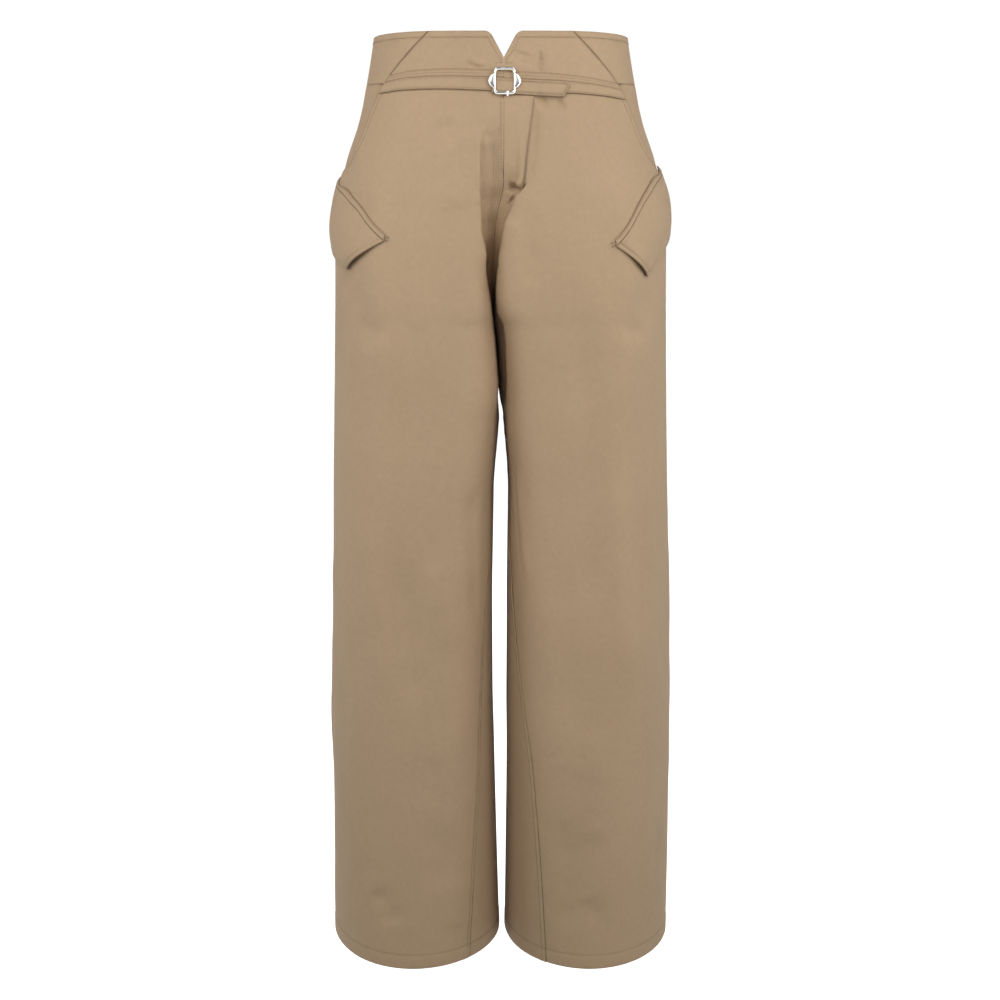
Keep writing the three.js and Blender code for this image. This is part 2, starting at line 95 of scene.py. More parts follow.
# One half of the garment at each level. side: half-width; front, back: reach in Y; crest,
# back_crest: X of the front-most and back-most lines; wall: X of the leg's inner face; rise, seat:
# Y of the centre seams; round: depth of the rounded floor beside them; inner, outer: powers. The
# inner ones are fuller than the solid's at the thighs, where the cloth presses together.
LEVELS = table(
    (
        "z", "side", "front", "back", "crest", "back_crest", "wall", "rise", "seat", "round", "inner",
        "outer",
    ),
    (
        (50, 131.5, 93, 89, 24, 32, 12, -93, 89, 0, 2.2, 2.4),
        (0, 140.3, 101, 98, 32, 38, 14, -101, 98, 0, 2.2, 2.4),
        (-40, 150, 110, 108, 44, 47, 17, -109, 107, 1, 2.2, 2.4),
        (-80, 164, 119.5, 117, 58, 58, 20, -111, 113, 4, 2.4, 2.4),
        (-120, 173.8, 127, 123.5, 70, 69, 20, -107, 114, 8, 2.8, 2.4),
        (-160, 175.2, 131.5, 126, 79, 78, 15, -95, 107, 9, 3.6, 2.4),
        (-200, 175.8, 134, 127, 86, 86, 9, -74, 86, 7, 4.6, 2.35),
        (-230, 176.4, 135, 126.5, 89, 89, 5, -42, 50, 4, 5.2, 2.3),
        (-245, 176.8, 135, 126, 90, 90, 2, -1, 1, 0, 5.2, 2.3),
        (-300, 178.2, 134.5, 125.5, 91, 91, 1.2, -1, 1, 0, 5, 2.25),
        (-345, 179.5, 134, 125, 92, 92, 2.6, -1, 1, 0, 4.6, 2.2),
        (-424, 181.7, 133, 124, 94, 94, 8, -1, 1, 0, 4, 2.15),
        (-560, 184.8, 131, 122.5, 96, 96, 8, -1, 1, 0, 3.2, 2.1),
        (-722, 187.4, 128, 121, 97, 97, 7, -1, 1, 0, 2.7, 2.05),
        (-841, 188.5, 125.5, 120, 97, 97, 5, -1, 1, 0, 2.25, 2),
        (-940, 188.6, 123, 119, 96, 96, 3, -1, 1, 0, 1.95, 1.95),
    ),
)

# The curved seam from the waist, which turns into the slant pocket mouth below the band.
MOUTH = table(("z", "x"), ((50, 72), (26, 96), (0, 117), (-32, 133), (-60, 144), (-80, 157), (-94, 168)))
MOUTH_END = -94
MOUTH_RUNOUT = 12
FACING_UNDER = 12

# How far each inseam has turned to the front, from a search along the form and rounded.
INSEAM = table(
    ("z", "right", "left"),
    (
        (-245, 0, 0), (-330, 24, 22), (-424, 54, 50), (-495, 73, 77), (-560, 86, 88), (-640, 91, 103),
        (-722, 93.5, 114), (-841, 96.5, 117.5), (-940, 99.5, 118),
    ),
)

# How the crotch leans: X by which the inner faces and the centre seam move at each level.
LEAN = table(
    ("z", "right", "centre", "left"),
    (
        (-60, 1, 0, 0),
        (-92, 1, 0, 0),
        (-104, 1, -0.5, -2),
        (-113, 1, -2, -6),
        (-128, 0.5, -5, -11),
        (-146, -0.5, -7.5, -14),
        (-171, -1.2, -8.5, -14.5),
        (-188, -3.5, -9.2, -15),
        (-200, -4, -9, -14),
        (-216, -3, -7.6, -12.4),
        (-230, -2.2, -5.6, -9.2),
        (-245, -1.6, -2.9, -4.2),
        (-262, -0.2, -0.7, -1.2),
        (-290, 1.8, 1.4, 1),
        (-306, 3, 2.6, 2.2),
        (-321, 2.6, 2.4, 2.2),
        (-333, 1.2, 1.1, 1),
        (-345, 0.3, 0.45, 0.6),
        (-385, 0.5, 0.65, 0.8),
        (-424, 0, 0.1, 0.2),
        (-485, -0.8, -0.8, -0.8),
        (-560, -1.4, -1.4, -1.4),
        (-655, -1.4, -1.4, -1.4),
        (-722, -0.4, -0.4, -0.4),
        (-841, 0.5, 0.5, 0.5),
        (-940, 1.3, 1.3, 1.3),
    ),
)
LEAN_REACH = 130
TOUCH_BOW = -6  # the line where the thighs touch curves from front to back

CENTRE_X = 3
NOTCH_HALF = 14
NOTCH_BOTTOM = 24
NOTCH_CORNER = 5
SIDE_TOP = 46
BACK_TOP = 26

# The belt band: top and bottom edge on each side.
BAND = table(
    ("x", "right_top", "right_bottom", "left_top", "left_bottom"),
    ((3, 12, -9.5, 11, -11), (60, 13, -7.5, 8, -11.5), (95, 11.5, -8.5, 4, -14), (124, 7, -12, -1, -18)),
)
BAND_STEP = 0.38  # share of the band's height taken by its upper strip
STRAP = {
    "from": -9, "top": 3.5, "bottom": -12, "drop": 4, "shoulder": 61, "tip": 69, "tip_at": 0.25,
    "toe": 62.5, "length": 76, "width": 15.5,
}
FLY = table(("z", "edge"), ((-14, 33.5), (-40, 30), (-70, 26), (-104, 23.5)))
FLY_STAND_OFF = 1.2
# The flaps, which differ a little: how far ahead of the side line, and how high, the upper and the
# lower edge run, from the front corner and toe (share 0) to the far end (share 1). The corners,
# the toes and parts of the next rows come from a search along the form.
FLAP_COLUMNS = ("share", "upper_ahead", "upper_z", "lower_ahead", "lower_z")
FLAP_EDGES = {
    "right": table(FLAP_COLUMNS, (
        (0, 148, -156.6, 96, -187.2), (0.3, 100, -123, 62, -177.5), (0.5, 70, -111, 38, -172),
        (0.75, 30, -104, 2, -166), (1, -8, -99, -30, -160),
    )),
    "left": table(FLAP_COLUMNS, (
        (0, 149.5, -162, 111, -194), (0.3, 102, -116.5, 71, -168.5), (0.5, 70, -100.5, 45, -161.5),
        (0.75, 30, -92.5, 8, -156), (1, -8, -88, -26, -152),
    )),
}
FLAP = {"length": 172, "depth": 57, "bulge": 3.0, "skew": 1.6, "edge_off": 0.8}
FLAP_GAP = 0.7
WELT_WIDTH = 6
BUCKLE = {
    "x": 4, "half_width": 9.0, "half_height": 11, "bar": 2.6, "side": 1.8, "ear": 5.5,
    "ear_half": 8.0, "plate": 1.5, "lift": 4.3, "corner": 3.4, "bevel": 0.6, "opening_power": 6,
}
TONGUE = {"x": 6.8, "length": 6.4}
ROD_SIDES = 14

# ---------------------------------------------------------------- creases and drape
# Soft ridges (height above 0) and troughs, each along a bowed line between two places. On the
# front and back x is the distance from the centre; on the side it is the distance behind the
# side line. width is the half-width of the fold; lean makes one flank steeper than the other.
FOLD_COLUMNS = ("face", "x1", "z1", "x2", "z2", "bow", "width", "height", "lean")
FOLDS = {
    "right": (
        ("front", 30, -40, 44, -128, 3, 17, 2.4, 0.2),
        ("front", 60, -34, 42, -92, -4, 9, -2.1, 0.3),
        ("front", 101, -60, 105, -335, 6, 15, 1.7, 0.1),
        ("front", 84, -90, 86, -300, -4, 11, -1.4, 0),
        ("front", 63, -110, 65, -330, 5, 14, 1.5, -0.2),
        ("front", 134, -395, 119, -640, 6, 17, 1.9, 0.2),
        ("front", 68, -480, 50, -585, 4, 15, 1.6, 0),
        ("front", 106, -470, 92, -645, -5, 13, -2.1, 0.2),
        ("front", 29, -405, 24, -560, 3, 8, -2.4, 0.3),
        ("front", 160, -178, 115, -262, 8, 19, -3.0, 0),
        ("front", 157, -72, 123, -136, 4, 10, -1.8, 0),
        ("front", 40, -640, 60, -800, 6, 14, 1.2, 0),
        ("front", 78, -690, 70, -860, -5, 16, -1.5, 0),
        ("front", 44, -835, 51, -900, 0, 16, 1.3, 0),
        ("front", 134, -850, 110, -888, 3, 13, -1.6, 0),
        ("front", 150, -600, 158, -840, 6, 15, 1.4, 0),
        ("front", 34, 20, 16, 13, 1.5, 1.7, -2.2, 0.3),
        ("front", 31, 23.5, 15, 17.5, 1.5, 2.4, 1.0, 0),
        ("front", 126, 33, 101, 41, 1, 4, -1.3, 0),
        ("front", 52, 40, 40, 20, 2, 9, -0.8, 0),
        ("side", -4, -130, 6, -420, 8, 18, -2.4, 0),
        ("side", 26, -200, 34, -520, -9, 16, 2.0, 0.2),
        ("side", 8, -480, -12, -760, 7, 19, 2.2, 0),
        ("side", 40, -560, 24, -880, -6, 15, -2.3, 0.2),
        ("side", -30, -640, -22, -900, 5, 14, -1.5, 0),
        ("back", 118, -60, 84, -150, 6, 14, -1.9, 0.2),
        ("back", 24, -178, 92, -214, 9, 8, -3.1, 0.3),
        ("back", 30, -205, 84, -246, 7, 7, -2.6, -0.2),
        ("back", 22, -238, 58, -300, 8, 8, -2.2, 0.3),
        ("back", 70, -120, 74, -190, 5, 17, 2.0, 0),
        ("back", 96, -240, 104, -520, 9, 15, 2.1, 0.2),
        ("back", 64, -270, 58, -560, -7, 13, -2.4, 0),
        ("back", 38, -330, 30, -600, 4, 12, 1.6, 0),
        ("back", 128, -330, 118, -620, -6, 14, -2.0, 0.2),
        ("back", 84, -540, 96, -820, 7, 17, 2.2, 0),
        ("back", 50, -620, 44, -880, -6, 14, -1.9, 0.1),
        ("back", 130, -660, 136, -900, 6, 15, 1.8, 0),
        ("back", 90, -488, 40, -522, 4, 6, -1.2, 0.2),
    ),
    "left": (
        ("front", 22, -128, 12, -182, 3, 9, 2.2, 0.2),
        ("front", 38, -18, 29, -99, 0.5, 3.0, -1.0, 0),
        ("front", 33, -18, 66, -22, 0, 6, -4.2, 0),
        ("front", 34, -118, 40, -208, 3, 9, -1.8, 0.2),
        ("front", 101, -78, 122, -345, 5, 13, 2.4, 0.25),
        ("front", 75, -205, 93, -570, 6, 17, -2.3, 0),
        ("front", 56, -330, 66, -700, 0, 25, -2.6, 0),
        ("front", 116, -230, 124, -690, 4, 24, 2.2, 0),
        ("front", 46, -150, 50, -400, -4, 24, -2.2, 0),
        ("front", 122, -380, 136, -628, -5, 14, 2.3, 0.2),
        ("front", 94, -660, 96, -800, 3, 15, 1.7, 0),
        ("front", 156, -150, 129, -265, 7, 19, -3.0, 0),
        ("front", 152, -280, 158, -420, 4, 14, -1.2, 0),
        ("front", 10, -372, 24, -506, -2.5, 2.6, -3.0, 0.45),
        ("front", 16, -386, 31, -512, -2.5, 6, 1.4, 0),
        ("front", 6, -232, 3, -330, 0, 9, -6.0, 0),
        ("front", 44, -500, 56, -700, 5, 14, 1.3, 0),
        ("front", 51, -700, 66, -696, 0.8, 1.6, -0.7, 0),
        ("front", 70, -701, 92, -697, -0.8, 1.6, -0.7, 0),
        ("front", 58, -706, 84, -704, 0.6, 2.4, 0.45, 0),
        ("front", 62, -760, 70, -900, 4, 16, -1.5, 0),
        ("front", 90, -856, 112, -906, 3, 13, -1.6, 0),
        ("front", 176, -800, 164, -850, 2, 10, -2.0, 0),
        ("front", 39, 32, 36.5, 8, 2.2, 1.9, -2.9, 0.45),
        ("front", 45, 31, 42, 9, 2, 4, 1.4, 0),
        ("front", 22, 30, 22, 17, 0, 8, -1.6, 0),
        ("front", 110, 42, 128, 37, -1, 4, -1.3, 0),
        ("front", 80, 40, 70, 16, 2, 10, 0.7, 0),
        ("side", 4, -140, -6, -460, -8, 18, -2.2, 0),
        ("side", 30, -190, 24, -500, 8, 16, 2.1, 0.2),
        ("side", -10, -470, 10, -800, 6, 19, 2.1, 0),
        ("side", 38, -590, 30, -900, 5, 15, -2.2, 0.1),
        ("back", 116, -58, 88, -148, 5, 14, -1.8, 0.2),
        ("back", 20, -186, 96, -222, 8, 8, -3.0, 0.3),
        ("back", 26, -214, 78, -262, 6, 7, -2.4, -0.2),
        ("back", 20, -246, 62, -312, 9, 8, -2.0, 0.3),
        ("back", 74, -116, 70, -196, -5, 17, 1.9, 0),
        ("back", 92, -236, 98, -480, -8, 15, 2.0, 0.2),
        ("back", 60, -290, 66, -590, 7, 13, -2.5, 0),
        ("back", 34, -350, 28, -640, -4, 12, 1.7, 0),
        ("back", 126, -300, 132, -600, 6, 14, -2.1, 0.2),
        ("back", 88, -560, 80, -850, -6, 17, 2.3, 0),
        ("back", 46, -650, 52, -900, 5, 14, -1.8, 0.1),
        ("back", 134, -640, 126, -880, -5, 15, 1.7, 0),
        ("back", 94, -502, 46, -540, -4, 6, -1.1, 0.2),
    ),
}

# Folds beside the fly, placed from the centre line, so both fronts share them: X is the real one.
FLY_FOLDS = table(
    ("x1", "z1", "x2", "z2", "bow", "width", "height"),
    (
        (22.5, -97, 8, -128, -1, 2.2, 2.2),
        (26.3, -98, 14.5, -123, -1, 1.3, -3.2),
        (16.5, -99, 14, -110, 0, 5, -7.0),
        (-11, -181, -4.5, -187, 0.5, 2, -2.0),
        (-22.8, -50, -23.6, -122, 0, 2.6, 1.8),
        (-23.4, -108, -20, -160, 0.4, 2.6, 2.0),
        (-20.6, -146, -11, -204, 1, 2.6, 2.0),
        (-18.2, -54, -18.8, -124, 0, 2.4, -2.4),
        (-18.6, -108, -15, -160, 0.4, 2.4, -2.4),
        (-15.6, -146, -7, -200, 1, 2.4, -2.2),
        (-17, -51, -9, -55, 0, 4, -1.6),
        (-11, -56, -10, -160, 0, 7, -4.0),
        (0, -96, -2, -205, 0, 9, -3.0),
    ),
)


def curve_through(at, values):
    """Smooth curve through the values of a table, with no overshoot."""
    order = np.argsort(at)
    at = at[order]
    values = values[order]
    slope = np.diff(values) / np.diff(at)
    tangent = np.zeros(len(at))
    tangent[0] = slope[0]
    tangent[-1] = slope[-1]
    product = slope[:-1] * slope[1:]
    total = np.where(product > 0, slope[:-1] + slope[1:], 1)
    tangent[1:-1] = np.where(product > 0, 2 * product / total, 0)

    def curve(x):
        x = np.clip(np.asarray(x, float), at[0], at[-1])
        i = np.clip(np.searchsorted(at, x, side="left") - 1, 0, len(at) - 2)
        span = at[i + 1] - at[i]
        t = (x - at[i]) / span
        rise = values[i + 1] - values[i]
        start = tangent[i] * span
        end = tangent[i + 1] * span
        return values[i] + t * (start + t * (3 * rise - 2 * start - end + t * (start + end - 2 * rise)))

    return curve


def eased(t):
    t = np.clip(t, 0, 1)
    return t * t * (3 - 2 * t)


def mix(a, b, t):
    return a + (b - a) * t


level = {name: curve_through(LEVELS["z"], LEVELS[name]) for name in LEVELS if name != "z"}
mouth_x = curve_through(MOUTH["z"], MOUTH["x"])
inseam_turn = {side: curve_through(INSEAM["z"], INSEAM[side]) for side in ("right", "left")}
flap_edge = {
    side: {name: curve_through(rows["share"], rows[name]) for name in FLAP_COLUMNS[1:]}
    for side, rows in FLAP_EDGES.items()
}
lean_at = {side: curve_through(LEAN["z"], LEAN[side]) for side in ("right", "centre", "left")}

# ---------------------------------------------------------------- the form
QUARTER_STEPS = 40


def quarter(along_x, along_y, power, steps):
    """Superellipse quarters, one a level, from where they run along X to where they run along Y."""
    angle = np.linspace(0, math.pi / 2, steps + 1)[None, :]
    x = along_x[0] + (along_y[0] - along_x[0]) * np.sin(angle) ** (2 / power)
    y = along_y[1] + (along_x[1] - along_y[1]) * np.cos(angle) ** (2 / power)
    return np.stack([x, y], axis=2)


class Form:
    """The outlines of one stretch of levels, and the way round them from the centre front."""

    def __init__(self, top, bottom, is_torso):
        count = int(round((top - bottom) / LEVEL_STEP)) + 1
        self.z = np.linspace(top, bottom, count)
        self.is_torso = is_torso
        size = {name: curve(self.z)[:, None] for name, curve in level.items()}
        zero = np.zeros_like(size["side"])
        crest = (size["crest"], -size["front"])
        back_crest = (size["back_crest"], size["back"])
        side = (size["side"], zero)
        front_wall = (size["wall"], size["rise"] - size["round"])
        back_wall = (size["wall"], size["seat"] + size["round"])
        flat = 2 * np.ones_like(zero)
        runs = [
            quarter(crest, front_wall, size["inner"], QUARTER_STEPS)[:, ::-1],
            quarter(crest, side, size["outer"], QUARTER_STEPS),
            quarter(back_crest, side, size["outer"], QUARTER_STEPS)[:, ::-1],
            quarter(back_crest, back_wall, size["inner"], QUARTER_STEPS),
        ]
        if is_torso:
            runs.insert(0, quarter((zero, size["rise"]), front_wall, flat, QUARTER_STEPS // 2))
            runs.append(quarter((zero, size["seat"]), back_wall, flat, QUARTER_STEPS // 2)[:, ::-1])
        else:
            runs.append(np.concatenate(front_wall, axis=1)[:, None, :])
        self.points = np.concatenate(runs, axis=1)
        steps = np.linalg.norm(np.diff(self.points, axis=1), axis=2)
        self.lengths = np.concatenate([zero, np.cumsum(steps, axis=1)], axis=1)
        before = QUARTER_STEPS // 2 + 1 if is_torso else 0
        crest_index = before + QUARTER_STEPS
        side_index = crest_index + QUARTER_STEPS + 1
        self.crest = self.lengths[:, crest_index]
        self.side = self.lengths[:, side_index]
        self.back_crest = self.lengths[:, side_index + QUARTER_STEPS + 1]
        self.total = self.lengths[:, -1]
        self.side_index = side_index
        self.stride = 2000.0
        self.keys = (self.lengths + self.stride * np.arange(count)[:, None]).ravel()
        self.flat_points = self.points.reshape(-1, 2)

    def at_level(self, values, z):
        return np.interp(-np.asarray(z, float), -self.z, values)

    def point(self, distance, z):
        """Points of the surface at distances round the outline from its start."""
        distance, z = np.broadcast_arrays(np.asarray(distance, float), np.asarray(z, float))
        place = np.clip((self.z[0] - z) / LEVEL_STEP, 0, len(self.z) - 1)
        low = np.minimum(place.astype(int), len(self.z) - 2)
        share = place - low
        xy = np.zeros(distance.shape + (2,))
        for step, weight in ((0, 1 - share), (1, share)):
            row = low + step
            total = self.total[row]
            along = np.abs(distance) if self.is_torso else np.mod(distance, total)
            key = row * self.stride + np.clip(along, 0, total)
            for axis in (0, 1):
                xy[..., axis] += weight * np.interp(key, self.keys, self.flat_points[:, axis])
        if self.is_torso:
            xy[..., 0] = np.where(distance < 0, -xy[..., 0], xy[..., 0])
        return np.concatenate([xy, z[..., None]], axis=-1)


torso = Form(TOP, CROTCH, True)
legs = Form(CROTCH, HEM, False)


def by_level(attribute, z):
    z = np.asarray(z, float)
    upper = torso.at_level(getattr(torso, attribute), z)
    lower = legs.at_level(getattr(legs, attribute), z)
    return np.where(z >= CROTCH, upper, lower)


def side_distance(z):
    return by_level("side", z)


def form_point(distance, z):
    distance, z = np.broadcast_arrays(np.asarray(distance, float), np.asarray(z, float))
    upper = torso.point(distance, np.maximum(z, CROTCH))
    lower = legs.point(distance, np.minimum(z, CROTCH))
    points = np.where((z >= CROTCH)[..., None], upper, lower)
    points[..., 2] = z
    return points


def form_normal(distance, z):
    distance, z = np.broadcast_arrays(np.asarray(distance, float), np.asarray(z, float))
    in_torso = z >= CROTCH
    total = by_level("total", z)
    after = np.where(in_torso, np.minimum(distance + NORMAL_STEP, total), distance + NORMAL_STEP)
    round_it = form_point(after, z) - form_point(distance - NORMAL_STEP, z)
    at_seam = in_torso & ((np.abs(distance) < 0.3) | (total - distance < 0.3))
    round_it[..., 1] = np.where(at_seam, 0, round_it[..., 1])
    above = np.minimum(z + NORMAL_STEP, TOP)
    below = np.maximum(z - NORMAL_STEP, HEM)
    up = form_point(distance, above) - form_point(distance, below)
    normal = np.cross(round_it, up)
    return normal / np.linalg.norm(normal, axis=-1, keepdims=True)


HALVINGS = 34  # enough to find a distance to well under a thousandth of a millimetre


def distance_at_x(x, z):
    """Distance round the front at which the surface reaches a given X."""
    x, z = np.broadcast_arrays(np.asarray(x, float), np.asarray(z, float))
    low = np.zeros(x.shape)
    high = side_distance(z).copy()
    for _ in range(HALVINGS):
        middle = (low + high) / 2
        nearer = form_point(middle, z)[..., 0] < np.abs(x)
        low = np.where(nearer, middle, low)
        high = np.where(nearer, high, middle)
    return np.sign(np.where(x == 0, 1, x)) * (low + high) / 2


def back_distance_at_x(x, z):
    low = side_distance(z)
    high = by_level("back_crest", z) + 60
    for _ in range(HALVINGS):
        middle = (low + high) / 2
        nearer = form_point(middle, z)[..., 0] > x
        low = np.where(nearer, middle, low)
        high = np.where(nearer, high, middle)
    return (low + high) / 2


# ---------------------------------------------------------------- seam lines
MOUTH_AHEAD = float(side_distance(MOUTH_END) - distance_at_x(mouth_x(MOUTH_END), MOUTH_END))


def side_seam(z):
    return side_distance(z) + SIDE_SEAM_BEHIND


def front_edge(z):
    """Outer edge of the front: the curved seam and pocket mouth, then the side seam."""
    z = np.asarray(z, float)
    along_mouth = distance_at_x(mouth_x(z), z)
    runout = eased((MOUTH_END - z) / MOUTH_RUNOUT)
    below_mouth = side_distance(z) - mix(MOUTH_AHEAD, -SIDE_SEAM_BEHIND, runout)
    return np.where(z >= MOUTH_END, along_mouth, below_mouth)


def centre_shift(z):
    return CENTRE_X * eased((np.asarray(z, float) - CROTCH) / (CROTCH / -2))


def front_start(z, wearer):
    z = np.asarray(z, float)
    shift = centre_shift(z) if wearer == "left" else -centre_shift(z)
    return np.where(z < CROTCH, inseam_turn[wearer](z), shift) + FINE_GAP / 2


def back_end(z, wearer):
    z = np.asarray(z, float)
    return by_level("total", z) + np.where(z < CROTCH, inseam_turn[wearer](z), 0) - FINE_GAP / 2


# ---------------------------------------------------------------- drape
def bump(along, across, width, lean):
    """Height of a fold beside its line, fading out past both of its ends."""
    flank = width * (1 + lean * np.tanh(across / width))
    return np.exp(-((across / flank) ** 2)) * eased(along / 0.2) * eased((1 - along) / 0.2)


def placed_folds(wearer):
    rows = []
    for values in FOLDS[wearer]:
        fold = dict(zip(FOLD_COLUMNS, values))
        for end in ("1", "2"):
            x = fold["x" + end]
            z = fold["z" + end]
            if fold["face"] == "front":
                x = float(distance_at_x(x, z) - side_distance(z))
            elif fold["face"] == "back":
                x = float(back_distance_at_x(x, z) - side_distance(z))
            fold["q" + end] = x
        rows.append(fold)
    return rows


placed = {wearer: placed_folds(wearer) for wearer in ("right", "left")}


def one_fold(fold, q, z):
    """Lift of one fold; its height swells and sinks along it as pressed cloth does."""
    dq = fold["q2"] - fold["q1"]
    dz = fold["z2"] - fold["z1"]
    length = math.hypot(dq, dz)
    along = ((q - fold["q1"]) * dq + (z - fold["z1"]) * dz) / length**2
    across = ((z - fold["z1"]) * dq - (q - fold["q1"]) * dz) / length
    inside = np.clip(along, 0, 1)
    across = across - fold["bow"] * 4 * inside * (1 - inside)
    swell = 1 + 0.22 * np.sin(9 * along + fold["q1"]) + 0.12 * np.sin(23 * along + fold["z1"])
    return fold["height"] * swell * bump(along, across, fold["width"], fold["lean"])


def drape(q, z, wearer):
    """Broad, low unevenness of the whole leg."""
    phase = 0.0 if wearer == "right" else 2.1
    low = eased((-z - 60) / 500)
    broad = np.sin(q / 31 + z / 210 + phase) * np.sin(z / 167 + 1.3 * phase + q / 260)
    middle = np.sin(q / 17.5 - z / 120 + 2 * phase) * np.sin(z / 83 + phase)
    return low * (0.75 * broad + 0.28 * middle)


def fold_lift(wearer, distance, z, world_x):
    settings = bpy.context.scene.trouser_shape
    q = distance - side_distance(z)
    total = by_level("total", z)
    in_leg = z < CROTCH
    lift = np.zeros(np.shape(q))
    wide = drape(q, z, wearer)
    from_centre = np.minimum(np.abs(distance), np.abs(total - distance))
    lift = lift + wide * eased(from_centre / 40)
    for fold in placed[wearer]:
        lift = lift + one_fold(fold, q, z)
        if fold["z2"] < CROTCH:
            other = one_fold(fold, q + total, z) + one_fold(fold, q - total, z)
            lift = lift + np.where(in_leg, other, 0)
    at_centre = np.where(in_leg, 1, eased((from_centre - 2) / 14))
    lift = lift * at_centre
    shared = np.zeros(np.shape(q))
    for values in zip(*FLY_FOLDS.values()):
        fold = dict(zip(FLY_FOLDS, values))
        fold.update(q1=fold["x1"], q2=fold["x2"], lean=0)
        shared = shared + one_fold(fold, world_x, z)
    in_front = q < -20
    lift = lift + np.where(in_front, shared, 0)
    return lift * settings.fold_depth


def lean_shift(x, y, z):
    """How far a place moves in X where the inner thighs lean against each other."""
    wall = np.maximum(level["wall"](z), 1)
    reach = np.abs(x)
    centre = lean_at["centre"](z)
    own = np.where(x < 0, lean_at["right"](z), lean_at["left"](z))
    inside = mix(centre, own, np.clip(reach / wall, 0, 1))
    outside = own * (1 - eased((reach - wall) / (LEAN_REACH - wall)))
    shift = np.where(reach < wall, inside, outside)
    behind = eased((y + 30) / 60)
    low = eased((-200 - z) / 60)
    pressed = eased((-212 - z) / 30) * (1 - eased((-316 - z) / 32))
    bowed = TOUCH_BOW * pressed * np.maximum(1 - (y / 105) ** 2, 0) * (1 - eased(reach / LEAN_REACH))
    return shift * eased((-50 - z) / 30) * mix(1, low, behind) + bowed


def cloth_point(wearer, distance, z, lift=0.0):
    """Points of the draped cloth, in the garment's own frame, at a lift over its form."""
    distance, z = np.broadcast_arrays(np.asarray(distance, float), np.asarray(z, float))
    sign = 1 if wearer == "left" else -1
    points = form_point(distance, z)
    normals = form_normal(distance, z)
    push = lift + fold_lift(wearer, distance, z, sign * points[..., 0])
    points = points + normals * push[..., None]
    points[..., 0] *= sign
    points[..., 0] += lean_shift(points[..., 0], points[..., 1], z)
    return points


# ---------------------------------------------------------------- edges and seams
def rolled(edge, radius=EDGE_ROUND):
    """How far a face drops where it rolls over its edge."""
    reach = np.clip(edge / radius, 0, 1)
    return radius * (1 - np.sqrt(np.maximum(1 - (1 - reach) ** 2, 0))) * 0.96


def allowance(edge, height=0.5, width=7.5):
    """The seam allowance pressed under one side of a seam."""
    return height * eased(edge / 1.4) * (1 - eased((edge - width) / 3.2))


def channel(edge, at, depth=0.25, width=0.8):
    return -depth * np.exp(-(((edge - at) / width) ** 2))


def painted_edge_shade(edge, width=0.6):
    """Painted shade: colour darkened beside an edge, standing in for the shadow in its crack."""
    return np.exp(-np.maximum(edge, 0) / width)


def painted_line_shade(edge, at, share=0.42, width=0.75):
    """Painted shade in the furrow of a stitched line, standing in for its shadow."""
    return share * np.exp(-(((edge - at) / width) ** 2))


def pucker(edge, along, size=0.2, reach=9.0):
    """Small gathers that stitching leaves along a seam."""
    wave = np.sin(along / 3.3 + 2.2 * np.sin(along / 19)) + 0.5 * np.sin(along / 7.1 + 1)
    return size * wave * np.exp(-((edge / reach) ** 2))


def levels_between(top, bottom, marks):
    """Heights from top to bottom, with the spacing that each stretch asks for."""
    rows = [top]
    while rows[-1] > bottom + 0.01:
        spacing = next(step for limit, step in marks if rows[-1] > limit)
        rows.append(max(rows[-1] - spacing, bottom))
    if len(rows) > 2 and rows[-2] - rows[-1] < 0.4:
        rows.pop(-2)
    return np.array(rows)


def evenly(start, end, count):
    """Count more columns from start, which isn't repeated, to end."""
    share = np.linspace(0, 1, count + 1)[None, 1:]
    return start[:, None] + (end - start)[:, None] * share


# ---------------------------------------------------------------- meshes
def new_mesh_object(name, points, loops, sizes, uv=None, marks=None):
    mesh = bpy.data.meshes.new(name)
    mesh.vertices.add(len(points))
    mesh.vertices.foreach_set("co", np.asarray(points, np.float32).ravel())
    mesh.loops.add(len(loops))
    mesh.loops.foreach_set("vertex_index", np.asarray(loops, np.int32))
    mesh.polygons.add(len(sizes))
    starts = np.concatenate([[0], np.cumsum(sizes)[:-1]]).astype(np.int32)
    mesh.polygons.foreach_set("loop_start", starts)
    mesh.update(calc_edges=True)
    mesh.polygons.foreach_set("use_smooth", np.ones(len(sizes), bool))
    if uv is not None:
        layer = mesh.uv_layers.new(name="Grain")
        layer.data.foreach_set("uv", np.asarray(uv, np.float32)[loops].ravel())
    for title, values in (marks or {}).items():
        layer = mesh.attributes.new(title, "FLOAT", "POINT")
        layer.data.foreach_set("value", np.asarray(values, np.float32))
    mesh.validate()
    obj = bpy.data.objects.new(name, mesh)
    bpy.context.scene.collection.objects.link(obj)
    return obj


def tube_quads(rings, sides, closed=False):
    """Quads that join each ring of points to the next one."""
    quads = []
    for ring in range(rings if closed else rings - 1):
        near = ring * sides
        far = (ring + 1) % rings * sides
        for side in range(sides):
            beside = (side + 1) % sides
            quads.append((near + side, near + beside, far + beside, far + side))
    return np.array(quads)


def circle(radius, sides):
    angle = 2 * math.pi * np.arange(sides) / sides
    return np.column_stack([radius * np.cos(angle), radius * np.sin(angle)])


